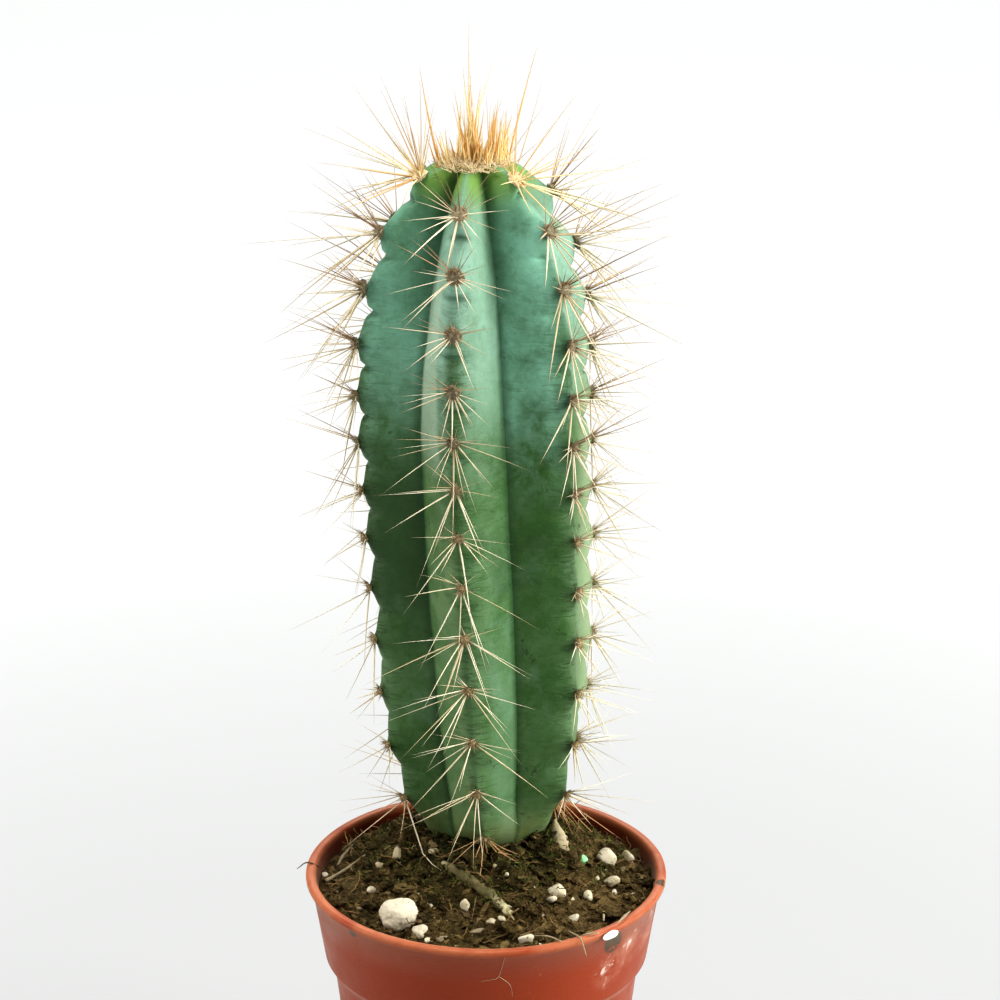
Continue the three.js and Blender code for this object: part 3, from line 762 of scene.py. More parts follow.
def pick(recipe, index, values):
    """One of a short list of numbers, by index."""
    picked = recipe.add("GeometryNodeIndexSwitch", data_type="FLOAT")
    node = picked.socket.node
    while len(node.index_switch_items) < len(values):
        node.index_switch_items.new()
    plug(node.inputs["Index"], index)
    for slot, value in zip(node.inputs[1:], values):
        plug(slot, value)
    return Wire(node.outputs[0])


def skin_formula():
    """Where the skin lies: Number counts areoles up the rib, and Turn counts ribs round the stem."""
    inputs = {"Number": 0.0, "Turn": 0.0, "Spacing": AREOLE_SPACING, "Swell": 4.5, "Swell areoles": 9.0}
    inputs |= {"Height": STEM_HEIGHT, "Crown": 46.0, "Taper": 1.5, "Bluntness": 0.32}
    inputs |= {"Crest radius": CREST_RADIUS, "Groove share": 0.7, "Crown groove share": 0.54}
    inputs |= {"Twist degrees": -9.5, "Twist height": 25.0, "Lean": -2.9}
    inputs |= {"Scallop": 1.5, "Crown scallop": 3.6, "Crease": 1.3}
    outputs = {"Place": "Vector", "Above soil": "Float", "From crest": "Float", "Between": "Float"}
    w = Recipe("Skin point", inputs, outputs)
    number = w["Number"]
    swelling = number.do("MINIMUM", w["Swell areoles"]).do("MAXIMUM", 0.0) / w["Swell areoles"]
    height = w["Spacing"] * number + w["Swell"] * (swelling * math.pi).do("SINE")
    rib = (w["Turn"] + 0.5).do("FLOOR")
    across = (w["Turn"] - rib) * 2.0
    t = across.do("ABSOLUTE")
    rest = 1.0 - t
    between = (number - pick(w, rib.do("FLOORED_MODULO", RIBS), RIB_PHASES)).do("FRACT")
    # The crests' radius: full in the middle, blunt at the crown, drawn in at the foot, tapered below it
    below_top = ((w["Height"] - height) / w["Crown"]).clamped()
    crown = (1.0 - (1.0 - below_top) ** w["Taper"]) ** w["Bluntness"]
    positive = height.do("MAXIMUM", 0.0)
    flare = (-positive / 28.0).do("EXPONENT") * 9.0 + (-positive / 8.0).do("EXPONENT") * 6.1
    depth = (-height / ROOT_DEPTH).clamped()
    crest = (w["Crest radius"] * crown - flare) * (1.0 - depth**ROOT_TAPER)
    into_crown = 1.0 - below_top
    # Scallops between the areoles, a crease under each, and a low seat for the areole itself
    ends = positive.between(0.0, 6.0) * (w["Height"] - height).between(0.0, 6.0)
    valley = (between / PEAK_END).do("MINIMUM", (1.0 - between) / (1 - PEAK_END)).do("MAXIMUM", 0.0) ** 1.4
    fold = (between - PEAK_END) / 0.06
    fold = (-(fold * fold)).do("EXPONENT")
    scallop = w["Scallop"] + (w["Crown scallop"] - w["Scallop"]) * into_crown.between(0.0, 1.0)
    crease = w["Crease"] * fold * height.between(70.0, 140.0, 0.2, 1.0) * t.fading(0.15, 0.6)
    seat = between.do("MINIMUM", 1.0 - between).fading(0.02, 0.16)
    seat = seat * t.fading(0.05, 0.22)
    relief = (seat * 0.5 - scallop * valley * rest**1.7 - crease) * ends
    relief = relief * (1.0 - height.do("LESS_THAN", 0.0))
    # The grooves, and the shoulder between a crest and its groove
    ribbed = (w["Crown groove share"] - w["Groove share"]) * height.between(95.0, 155.0) + w["Groove share"]
    groove = crest * (1.0 - (1.0 - ribbed) * height.between(-6.0, 14.0))
    crest = crest + relief
    shoulder = t * rest * 2.0
    radial = rest * rest * crest + shoulder * (crest - 1.0) + t * t * groove * math.cos(math.pi / 6)
    sideways = shoulder * crest * (4.0 / CREST_RADIUS) + t * t * groove * math.sin(math.pi / 6)
    radius = (radial * radial + sideways * sideways) ** 0.5
    turned = 1.0 - (-positive / w["Twist height"]).do("EXPONENT")
    azimuth = w["Twist degrees"] * DEGREE * turned + rib * (math.pi / 3)
    azimuth = azimuth + across.do("SIGN") * sideways.do("ARCTAN2", radial)
    drop = 4.5 * t * t * (into_crown**4.0 * math.pi).do("SINE")
    x = radius * azimuth.do("SINE") + FOOT.x + w["Lean"] * height.between(30.0, 130.0)
    y = FOOT.y - radius * azimuth.do("COSINE")
    z = height - drop + FOOT.z
    w.give(Place=w.xyz(x * MM, y * MM, z * MM), Above_soil=height, From_crest=t, Between=between)
    return w


skin_nodes = skin_formula()


def skin_point(recipe, number, turn):
    """A place of the skin, with its other values beside it."""
    return recipe.use(skin_nodes, Number=number, Turn=turn)


def cactus_skin():
    look = Look("cactus_skin")
    names = ("above_soil", "from_crest", "between", "turn")
    above, t, between, turn = (look.attribute(name) for name in names)
    left_flank = turn.between(4.95, 5.05) * turn.fading(5.49, 5.51)
    right_flank = turn.between(0.49, 0.51) * turn.fading(0.95, 1.05)
    young = above.between(82.0, 142.0 - right_flank * 15.0)
    # Dark flesh under a powdery blue-green bloom, which is thickest on young skin and on the crests
    flesh = look.mix(look.noise(60.0), (0.024, 0.074, 0.012), (0.048, 0.128, 0.027))
    powder_with_painted_light = look.mix(young, (0.115, 0.205, 0.095), (0.205, 0.350, 0.262))
    # Painted light and shade: the young bloom is painted a deeper green on the left-front rib's inner flank,
    # and paler and brighter, starting lower, on the right-front rib's inner flank.
    powder_with_painted_light = look.mix(left_flank * young, powder_with_painted_light, (0.165, 0.365, 0.255))
    powder_with_painted_light = look.mix(right_flank * young, powder_with_painted_light, (0.225, 0.480, 0.350))
    cloud = look.noise(34.0, 4.0, 0.6, 0.5)
    rubbed = mottle(look, 240.0, 0.52, 0.14)
    bloom = young.between(0.0, 1.0, 0.16, 0.90) + above.between(40.0, 85.0, 0.2, 0.0)
    bloom = bloom + above.between(0.0, 34.0, 0.10, 0.0) + cloud.between(0.3, 0.7, -0.3, 0.3, "LINEAR")
    bloom = bloom + t.between(0.05, 0.55, 0.26, -0.04) - rubbed * 0.18
    patchy = look.noise(130.0, 4.0, 0.65, 0.8)
    bloom = bloom + patchy.between(0.35, 0.65, -0.12, 0.12, "LINEAR")
    grainy = look.noise(520.0, 3.0, 0.7)
    bloom = bloom + grainy.between(0.35, 0.65, -0.09, 0.09, "LINEAR")
    bloom = bloom * above.between(154.0, 167.0, 1.0, 0.5)
    look.start(bloom.clamped(), flesh, powder_with_painted_light)
    # Faint stretch wrinkles across the older skin
    wrinkle = look.noise(520.0, 3.0, 0.6, 0.8, look.stretched((0.3, 0.3, 1.6))).between(0.48, 0.66)
    wrinkle = wrinkle * t.between(0.12, 0.7, 1.0, 0.2) * above.between(120.0, 165.0, 1.0, 0.1)
    look.lay(wrinkle * 0.42, (0.018, 0.050, 0.014))
    # Bloom worn off along the crests of the middle
    worn = above.between(78.0, 96.0) * above.fading(128.0, 146.0)
    worn = worn * t.fading(0.06, 0.4 + right_flank * 0.2)
    look.lay(worn * mottle(look, 110.0, 0.34, 0.16) * 0.8, (0.044, 0.105, 0.026))
    # Painted shade: the right-front rib's inner flank and the front rib's right side are darkened near their
    # crests.
    near_side_painted_shade = right_flank * t.fading(0.1, 0.5)
    near_side_painted_shade = near_side_painted_shade * above.between(84.0, 100.0) * above.fading(150.0, 162.0)
    front_crest_painted_shade = turn.between(0.0, 0.02) * turn.fading(0.08, 0.24)
    front_crest_painted_shade = front_crest_painted_shade * above.between(50.0, 75.0) * above.fading(122.0, 136.0)
    look.lay(near_side_painted_shade.do("MAXIMUM", front_crest_painted_shade * 0.75) * 0.58, (0.038, 0.098, 0.032))
    # Teal patches where the bloom of the lower flanks was not rubbed off
    kept = mottle(look, 95.0, 0.50, 0.14) * t.between(0.3, 0.6) * above.fading(70.0, 90.0)
    look.lay(kept * 0.34, (0.115, 0.215, 0.125))
    # Dark flesh half way up; painted shade darkens it more on the left, and painted light pales the sides
    # that face the lamps
    blotch = mottle(look, 75.0, 0.46, 0.14) * above.between(35.0, 70.0) * above.fading(95.0, 125.0)
    look.lay(blotch * 0.4, (0.016, 0.050, 0.010))
    # Painted shade: the middle of the left-front rib's inner flank is darkened.
    left_flank_painted_shade = left_flank * above.between(45.0, 76.0) * above.fading(88.0, 110.0)
    look.lay(left_flank_painted_shade * 0.68, (0.018, 0.050, 0.011))
    # Painted light: a pale strip on the front rib's left side towards its groove, and pale patches near its
    # crest lower down.
    front_left = turn.between(5.49, 5.51)
    left_edge_painted_light = front_left * t.between(0.42, 0.56) * above.between(96.0, 112.0)
    look.lay(left_edge_painted_light * above.fading(140.0, 154.0) * 0.5, (0.36, 0.45, 0.34))
    left_side_painted_light = front_left * t.between(0.06, 0.3) * above.fading(90.0, 108.0)
    left_side_painted_light = left_side_painted_light * mottle(look, 120.0, 0.56, -0.2).between(0.0, 1.0, 0.4, 1.0)
    look.lay(left_side_painted_light * 0.36, (0.20, 0.30, 0.13))
    # Painted sheen: a pale band on the front rib's right side, along its groove.
    groove_painted_sheen = turn.between(0.18, 0.32) * turn.fading(0.47, 0.50)
    groove_painted_sheen = groove_painted_sheen * (above.between(45.0, 70.0, 0.45, 0.1) + above.between(106.0, 120.0, 0.0, 0.9))
    look.lay(groove_painted_sheen * 0.3, (0.22, 0.38, 0.27))
    # Painted light: the right side of the stem is paler, where the right-hand lamp falls on it.
    to_right = look.place.parts()[0].between(20.0 * MM, 26.0 * MM)
    right_side_painted_light = to_right * above.between(0.0, 30.0) * young.between(0.0, 1.0, 1.0, 0.35)
    look.lay(right_side_painted_light * 0.55, (0.36, 0.46, 0.27))
    # Vivid new growth at the very top, painted shade in the creases between the scallops, and cork at the
    # soil line
    newest = above.between(163.0, 169.5)
    look.lay(newest * t.between(0.1, 0.5, 0.35, 0.85), (0.15, 0.28, 0.045))
    # Painted shade in the crease below each areole.
    fold = (between - 0.565) / 0.045
    crease_painted_shade = (-(fold * fold)).do("EXPONENT") * t.fading(0.1, 0.6) * above.between(85.0, 120.0)
    look.lay(crease_painted_shade * 0.5, (0.030, 0.100, 0.055))
    cork = above.fading(1.0, 15.0) * mottle(look, 180.0, 0.30, 0.25)
    look.lay(cork * 0.5, (0.17, 0.155, 0.055))
    # Bruised rims round the areoles, dark old scars, pale specks, and the shade deep in the grooves
    from_areole = between.do("MINIMUM", 1.0 - between)
    halo = from_areole.fading(0.10, 0.26) * t.fading(0.12, 0.34)
    look.lay(halo * mottle(look, 500.0, 0.4, 0.25) * 0.6, (0.030, 0.040, 0.010))
    scars = mottle(look, 170.0, 0.62, 0.06) * mottle(look, 900.0, 0.42, 0.2)
    look.lay(scars * 0.6 * young.between(0.0, 1.0, 1.0, 0.4), (0.012, 0.030, 0.008))
    look.lay(mottle(look, 1500.0, 0.72, 0.04) * 0.35, (0.35, 0.45, 0.30))
    in_crown = t.between(0.72, 1.0) * above.between(128.0, 152.0) * 0.72
    look.lay((t.between(0.90, 1.0) * 0.55).do("MAXIMUM", in_crown), (0.014, 0.050, 0.016))
    pores = look.noise(1800.0, 2.0)
    look.bump(pores * 0.25 - wrinkle * 0.7 + cloud * 0.5 - scars * 0.4, 0.00035, 0.7)
    return look.done(bloom.clamped().between(0.0, 1.0, 0.42, 0.6) + wrinkle * 0.08, 0.2)


skin_look = cactus_skin()


def stem_recipe():
    """Wraps a flat grid round the stem: its columns are turns, its rows climb from the root to the crown."""
    inputs = {"Columns": SKIN_COLUMNS, "Rows": SKIN_ROWS, "Root number": ROOT_NUMBER}
    inputs |= {"Top number": TOP_NUMBER, "Crowding": ROW_CROWDING, "Look": skin_look}
    recipe = Recipe("Ribbed stem", inputs)
    counts = {"Vertices_X": recipe["Columns"] + 1.0, "Vertices_Y": recipe["Rows"]}
    grid = recipe.add("GeometryNodeMeshGrid", Size_X=1.0, Size_Y=1.0, **counts)
    u, v, _ = recipe.place.parts()
    turn = (u + 0.5) * RIBS
    climb = (recipe["Top number"] - recipe["Root number"]) * (0.5 - v).clamped() ** recipe["Crowding"]
    point = skin_point(recipe, recipe["Top number"] - climb, turn)
    values = {"above_soil": point.beside("Above soil"), "from_crest": point.beside("From crest")}
    values |= {"between": point.beside("Between"), "turn": turn, "stem_place": point}
    mesh = recipe.put(recipe.store(grid, **values), recipe.direction("stem_place"))
    mesh = recipe.add("GeometryNodeMergeByDistance", Geometry=mesh, Distance=0.01 * MM)
    # Uneven growth: slow swells all over and small dimples in the skin
    swell = recipe.noise(38.0, 1.0).between(0.25, 0.75, -0.5, 0.5, "LINEAR")
    dimple = recipe.noise(170.0, 2.0).between(0.25, 0.75, -0.12, 0.12, "LINEAR")
    steady = recipe.named("above_soil").between(-2.0, 8.0)
    push = recipe.add("GeometryNodeInputNormal").scaled((swell + dimple) * steady * MM)
    mesh = recipe.add("GeometryNodeSetShadeSmooth", Geometry=recipe.moved(mesh, push))
    # The grooves are sharp: two flanks that meet in a line
    groove = {"Selection": recipe.named("from_crest").do("GREATER_THAN", 0.999), "Shade_Smooth": False}
    return recipe.dress(recipe.add("GeometryNodeSetShadeSmooth", Geometry=mesh, domain="EDGE", **groove))


stem_skin = grown("cactus_skin", stem_recipe())
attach(stem_skin, "root")
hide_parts("cactus_stem")


# The areoles: a cushion of matted wool at every scallop's peak, grey-brown on the older ribs and
# tan at the crown. Each is a low felt dome with short crooked hairs standing in it.
AREOLE_ROWS = 13
LOWEST_AREOLE = 3.5
HIGHEST_AREOLE = 12.76
UP_STEP = 0.07
SIDE_STEP = 0.04
HAIR_TURN = 6.283
WOOL_HAIRS = 54
CROWN_HAIRS = 700
CROWN_RADIUS = 8.6


def areole_recipe():
    """A point for each areole, with its directions: out of the skin, down the rib and to the rib's right."""
    inputs = {"Rows": AREOLE_ROWS, "Lowest": LOWEST_AREOLE, "Highest": HIGHEST_AREOLE}
    recipe = Recipe("Areole points", inputs)
    index = recipe.add("GeometryNodeInputIndex")
    rib = index.do("FLOORED_MODULO", RIBS)
    number = ((index / RIBS).do("FLOOR") + pick(recipe, rib, RIB_PHASES)).do("MINIMUM", recipe["Highest"])
    here = skin_point(recipe, number, rib)
    above, below = (skin_point(recipe, number + step, rib) for step in (UP_STEP, -UP_STEP))
    left, right = (skin_point(recipe, number, rib + step) for step in (-SIDE_STEP, SIDE_STEP))
    down = below.vector("SUBTRACT", above).vector("NORMALIZE")
    to_right = right.vector("SUBTRACT", left).vector("NORMALIZE")
    out = down.vector("CROSS_PRODUCT", to_right).vector("NORMALIZE")
    values = {"place": here, "down": down, "to_right": to_right, "out": out}
    values |= {"above_soil": here.beside("Above soil"), "rib": rib}
    points = recipe.store(recipe.add("GeometryNodePoints", Count=recipe["Rows"] * RIBS), **values)
    buried = recipe.named("above_soil").do("LESS_THAN", recipe["Lowest"])
    recipe.give(Mesh=recipe.without(recipe.put(points, recipe.direction("place")), buried))
    return recipe


areole_nodes = areole_recipe()


def facing(recipe, vector):
    """The rotation that turns +Z to a direction."""
    return recipe.add("FunctionNodeAlignRotationToVector", axis="Z", Vector=vector)


def wool():
    look = Look("areole_wool")
    above = look.attribute("above_soil")
    tint = look.attribute("tint")
    old = look.mix(tint, (0.28, 0.18, 0.075), (0.76, 0.63, 0.39))
    mid = look.mix(tint, (0.085, 0.060, 0.028), (0.60, 0.53, 0.36))
    young = look.mix(tint, (0.66, 0.46, 0.22), (0.95, 0.84, 0.60))
    look.start(above.between(70.0, 120.0), old, mid)
    look.lay(above.between(161.0, 169.0), young)
    felt = look.noise(1400.0, 3.0, 0.7).between(0.35, 0.6)
    look.lay(felt * above.between(150.0, 168.0, 0.45, 0.08), (0.05, 0.03, 0.012))
    look.bump(look.noise(2600.0, 3.0, 0.7), 0.0003)
    return look.done(0.95, 0.2)


wool_look = wool()


def wool_recipe():
    inputs = {"Hairs": WOOL_HAIRS, "Cushion": 1.0, "Hair length": 1.35, "Crown hairs": CROWN_HAIRS}
    recipe = Recipe("Areole wool", inputs | {"Crown radius": CROWN_RADIUS, "Look": wool_look})
    points = recipe.use(areole_nodes)
    out = recipe.direction("out")
    above = recipe.named("above_soil")
    dome = recipe.add("GeometryNodeMeshIcoSphere", Radius=MM, Subdivisions=3)
    dent = recipe.noise(1500.0, 2.0).between(0.3, 0.7, -0.25, 0.25, "LINEAR")
    dome = recipe.store(recipe.moved(dome, recipe.place.scaled(dent)), tint=0.35)
    wide = recipe["Cushion"] * recipe.luck(2, 1.35, 1.85) * above.between(90.0, 150.0, 0.62, 1.25)
    squat = recipe.xyz(wide, wide, recipe["Cushion"] * recipe.luck(3, 0.7, 1.1))
    domes = recipe.copies(points, dome, facing(recipe, out), squat)
    # The hairs: thin three-sided cones that lean out from the middle of the cushion
    several = {"Geometry": points, "Amount": recipe["Hairs"], "domain": "POINT"}
    hairs = recipe.add("GeometryNodeDuplicateElements", **several)
    turn = recipe.luck(4, 0.0, HAIR_TURN)
    aside = recipe.luck(5) ** 0.5
    to_side = recipe.direction("to_right").scaled(aside * turn.do("SINE"))
    over = to_side.vector("ADD", recipe.direction("down").scaled(aside * turn.do("COSINE")))
    hairs = recipe.store(hairs, lean=out.vector("ADD", over.scaled(recipe.luck(6, 0.3, 1.9))))
    hairs = recipe.moved(hairs, over.scaled(1.3 * MM))
    # The crown's fluff: the same hairs over the whole apex
    ring = recipe.luck(11) ** 0.5
    angle = recipe.luck(12, 0.0, HAIR_TURN)
    flat = recipe.xyz(ring * angle.do("SINE"), ring * angle.do("COSINE"), ring * ring * -0.14)
    apex = skin_point(recipe, TOP_NUMBER, 0.0)
    fluff_place = apex.vector("ADD", flat.scaled(recipe["Crown radius"] * MM))
    lean = recipe.xyz(recipe.luck(13, -1.0, 1.0), recipe.luck(14, -1.0, 1.0), recipe.luck(15, 0.2, 1.0))
    fluff = recipe.add("GeometryNodePoints", Count=recipe["Crown hairs"])
    fluff = recipe.put(recipe.store(fluff, lean=lean, above_soil=STEM_HEIGHT), fluff_place)
    cone = {"Vertices": 3, "Radius_Top": 0.0, "Radius_Bottom": 1.0, "Depth": 1.0}
    hair = recipe.add("GeometryNodeMeshCone", **cone)
    at_crown = above.do("GREATER_THAN", 170.5)
    thick = MM * recipe.luck(7, 0.07, 0.13) * (1.0 + at_crown * 0.5)
    long = MM * recipe["Hair length"] * recipe.luck(8, 0.7, 1.7) * (1.0 + at_crown * 1.1)
    turned = facing(recipe, recipe.direction("lean"))
    every = recipe.joined(hairs, fluff)
    hairs = recipe.copies(every, hair, turned, recipe.xyz(thick, thick, long), tint=recipe.luck(9))
    return recipe.dress(recipe.realized(recipe.joined(domes, hairs)))


areole_wool = grown("areole_wool", wool_recipe())
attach(areole_wool, "root")
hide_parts("cactus_stem")


# The spines: stiff tapered needles that stand in each areole's wool, long cream ones pointing down
# and sideways, finer brown ones above, and golden ones at the crown, where a tuft stands upright.
SPINES = [
    # degrees from straight down the rib towards its right, lift off the skin, length and root radius in mm
    (-6, 19, 19.5, 0.22), (9, 15, 18.0, 0.22), (-33, 16, 20.5, 0.22), (28, 17, 19.0, 0.21),
    (-56, 15, 20.5, 0.21), (54, 15, 19.0, 0.20), (-72, 18, 17.5, 0.17), (74, 19, 17.0, 0.16),
    (-90, 22, 14.5, 0.14), (89, 22, 15.5, 0.14), (-108, 28, 12.5, 0.12), (106, 28, 12.0, 0.12),
    (-134, 34, 11.5, 0.11), (130, 36, 11.0, 0.11), (-166, 42, 10.5, 0.11), (158, 46, 11.5, 0.12),
    (-48, 56, 18.0, 0.17), (66, 58, 18.5, 0.17), (174, 62, 16.0, 0.15), (-112, 50, 18.5, 0.15),
    (118, 52, 18.5, 0.15), (-16, 70, 19.0, 0.16), (-152, 60, 17.5, 0.14),
]
TUFTS = [
    # place right of and in front of the middle, lean to the right in radians, spine length in mm
    (-4.3, 1.5, -0.04, 15.0), (-1.2, 2.5, 0.03, 21.0), (1.2, 2.0, -0.10, 17.0), (3.7, 0.0, 0.12, 17.0),
    (6.4, -2.0, 0.10, 14.0), (-0.6, 0.5, 0.03, 26.0), (-7.6, -4.0, -0.25, 10.0), (0.4, 3.0, 0.02, 14.0),
    (5.2, 1.5, 0.22, 17.0), (2.4, 3.0, 0.12, 12.0),
]
TUFT_SPINES = 110
TALL_SPINES = [
    (-1.4, 0.0, -0.02, 36.0), (8.0, -2.0, 0.19, 33.0), (0.4, 1.0, -0.04, 27.0), (-8.0, -2.0, -0.24, 26.0),
]
SPINE_SEED = 40
SPINE_ROOT = 1.2
SPINE_REST = 0.35
RAY_START = 0.1
RAY_LENGTH = 0.13


def spine_look():
    look = Look("spine")
    names = ("along", "above_soil", "tint", "upward")
    along, above, tint, upward = (look.attribute(name) for name in names)
    cream = look.mix(tint, (0.66, 0.53, 0.31), (0.92, 0.87, 0.68))
    brown = look.mix(tint, (0.14, 0.065, 0.030), (0.46, 0.28, 0.14))
    gold = look.mix(tint, (0.62, 0.30, 0.07), (0.92, 0.78, 0.40))
    look.start(above.between(60.0, 125.0, 0.25, 1.0) * upward.between(0.0, 1.0, 0.28, 0.95), cream, brown)
    look.lay(above.between(164.0, 171.0), gold)
    root = along.fading(0.0, 0.16)
    look.lay(root * above.between(164.0, 171.0, 0.55, 0.1), (0.25, 0.13, 0.05))
    # The lowest ones are stained by the soil
    look.lay(above.between(3.0, 18.0, 0.85, 0.0), (0.50, 0.26, 0.085))
    look.lay(along.between(0.62, 1.0) * above.between(20.0, 90.0) * 0.6, (0.22, 0.12, 0.05))
    return look.done(0.42, 0.4)


spine_material = spine_look()


def needle(recipe):
    """A needle of unit length and root radius along +Z, swelling a little past its root and tapering to its
    point.
    """
    cone = {"Vertices": recipe["Sides"], "Side_Segments": recipe["Steps"], "Radius_Top": 0.06}
    cone = recipe.add("GeometryNodeMeshCone", Radius_Bottom=1.0, Depth=1.0, **cone)
    x, y, z = recipe.place.parts()
    full = 1.0 + 0.55 * (z * (1.0 - z) * 4.0)
    return recipe.put(recipe.store(cone, along=z), recipe.xyz(x * full, y * full, z))


def areole_spines(recipe):
    """Points at the roots of the areoles' spines, with the aim, length and thickness of each."""
    several = {"Geometry": recipe.use(areole_nodes), "Amount": len(SPINES), "domain": "POINT"}
    points = recipe.add("GeometryNodeDuplicateElements", **several)
    which = points.beside("Duplicate Index")
    seed = recipe["Seed"]
    above = recipe.named("above_soil")
    near_top = above.between(95.0, 160.0)
    rib = recipe.named("rib")
    in_front, right_front, right_back, left_back, left_front = (
        rib.do("COMPARE", number, 0.1) for number in (0.0, 1.0, 2.0, 4.0, 5.0)
    )
    turn, lift, length, thick = (pick(recipe, which, list(column)) for column in zip(*SPINES))
    turn = (turn + recipe.luck(seed, -15.0, 15.0)) * DEGREE * above.between(3.5, 9.0, 0.55, 1.0)
    lift = (lift + recipe.luck(seed + 1.0, -9.0, 11.0) + near_top * 8.0) * DEGREE
    # The right front rib's spines are stubs on the side that the next rib faces
    stubs = right_front * turn.do("LESS_THAN", 0.1) * above.fading(85.0, 135.0)
    length = length * recipe.luck(seed + 2.0, 0.5, 1.15) * (1.0 + (recipe["Crown gain"] - 1.0) * near_top)
    length = length * (1.0 - stubs * 0.55) * above.between(6.0, 24.0, 1.5, 1.0)
    aside = turn.do("ABSOLUTE").between(0.9, 1.6, 0.42, 0.1)
    length = length * (1.0 - in_front * aside * above.between(95.0, 135.0))
    in_middle = in_front * above.between(30.0, 55.0) * above.fading(100.0, 125.0)
    length = length * (1.0 + in_middle * 0.2)
    thick = thick * recipe.luck(seed + 3.0, 0.68, 1.1) * (0.95 + near_top * 0.1 - in_front * 0.15)
    down = recipe.direction("down").scaled(turn.do("COSINE"))
    over = down.vector("ADD", recipe.direction("to_right").scaled(turn.do("SINE")))
    out = recipe.direction("out").scaled(lift.do("SINE"))
    aim = over.scaled(lift.do("COSINE")).vector("ADD", out)
    # Some are lost, more of them low down, at the left and among the stubs
    worn = recipe["Lost"] + above.between(60.0, 165.0, 0.40, 0.0) + stubs * 0.35
    worn = worn - (right_front + right_back) * 0.24
    worn = worn + (left_back + left_front) * above.between(55.0, 100.0, 0.28, -0.04)
    front_worn = above.between(60.0, 90.0) * above.between(140.0, 165.0, 0.16, 0.0)
    worn = worn + in_front * (front_worn - above.between(20.0, 40.0) * 0.16)
    lost = recipe.luck(seed + 4.0).do("LESS_THAN", worn)
    upward = turn.do("ABSOLUTE").between(1.5, 2.3)
    points = recipe.store(recipe.without(points, lost), aim=aim, upward=upward, long=length, thick=thick)
    return recipe.moved(points, over.scaled(0.9 * MM))


def tuft_spines(recipe):
    """Points at the roots of the crown's tuft, which leans outwards at its sides."""
    index = recipe.add("GeometryNodeInputIndex")
    clump = index.do("FLOORED_MODULO", len(TUFTS))
    tall = index.do("LESS_THAN", len(TALL_SPINES))
    values = []
    for usual, highest in zip(zip(*TUFTS), zip(*TALL_SPINES)):
        one = pick(recipe, clump, list(usual))
        values.append(one + (pick(recipe, index, list(highest)) - one) * tall)
    aside, ahead, lean, length = values
    loose = 1.0 - tall * 0.85
    stray_right, stray_ahead, off_right, off_ahead = (
        recipe.luck(seed, -1.0, 1.0) * loose for seed in (21, 25, 26, 27)
    )
    to_front = ahead * 0.06 + stray_ahead * 0.2
    aim = recipe.xyz(lean + stray_right * 0.21, -to_front, 1.0).vector("NORMALIZE")
    right_of = aside + off_right * 1.6
    front_of = ahead + off_ahead * 1.6
    fall = (right_of * right_of + front_of * front_of) * -0.035
    apex = skin_point(recipe, TOP_NUMBER, 0.0)
    place = apex.vector("ADD", recipe.xyz(right_of * MM, front_of * -MM, fall * MM))
    values = {"aim": aim, "long": length * (1.0 - loose * recipe.luck(22, 0.0, 0.65))}
    values |= {"thick": recipe.luck(23, 0.18, 0.36) - tall * 0.06, "above_soil": STEM_HEIGHT, "upward": 0.0}
    tuft = recipe.add("GeometryNodePoints", Count=recipe["Tuft spines"])
    return recipe.put(recipe.store(tuft, **values), place)


def spine_recipe():
    inputs = {"Sides": 5, "Steps": 4, "Crown gain": 1.5, "Tuft spines": TUFT_SPINES, "Seed": SPINE_SEED}
    recipe = Recipe("Spines", inputs | {"Bend": 0.06, "Lost": 0.1, "Look": spine_material})
    aim = recipe.direction("aim")
    width = recipe.named("thick") * MM
    size = recipe.xyz(width, width, (recipe.named("long") + SPINE_ROOT) * MM)
    both = recipe.joined(areole_spines(recipe), tuft_spines(recipe))
    points = recipe.moved(both, aim.scaled(-SPINE_ROOT * MM))
    side, ahead, drop = (recipe.luck(*row) for row in ((32, -1.0, 1.0), (33, -1.0, 1.0), (34, -1.0, 0.4)))
    values = {"tint": recipe.luck(31), "sway": recipe.xyz(side, ahead, drop)}
    mesh = recipe.realized(recipe.copies(points, needle(recipe), facing(recipe, aim), size, **values))
    # Each needle sways a little to one side, and what would dip into the peat lies on it instead
    along = recipe.named("along")
    bend = recipe["Bend"] * along * along * recipe.named("long") * MM
    mesh = recipe.moved(mesh, recipe.direction("sway").scaled(bend))
    bed = recipe.add("GeometryNodeObjectInfo", "Geometry", transform_space="ORIGINAL", Object=soil_bed)
    here = recipe.place
    ray = {"Source_Position": here.vector("ADD", (0, 0, RAY_START)), "Ray_Direction": (0, 0, -1)}
    ray |= {"Ray_Length": RAY_LENGTH, "Target_Geometry": bed, "data_type": "FLOAT"}
    cast = recipe.add("GeometryNodeRaycast", "Hit Position", **ray)
    x, y, z = here.parts()
    lifted = recipe.xyz(x, y, z.do("MAXIMUM", cast.parts()[2] + SPINE_REST * MM))
    mesh = recipe.put(mesh, lifted, cast.beside("Is Hit") * along.do("GREATER_THAN", 0.12))
    return recipe.dress(recipe.add("GeometryNodeSetShadeSmooth", Geometry=mesh))


spines = grown("cactus_spines", spine_recipe())
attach(spines, "root")
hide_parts("cactus_stem")


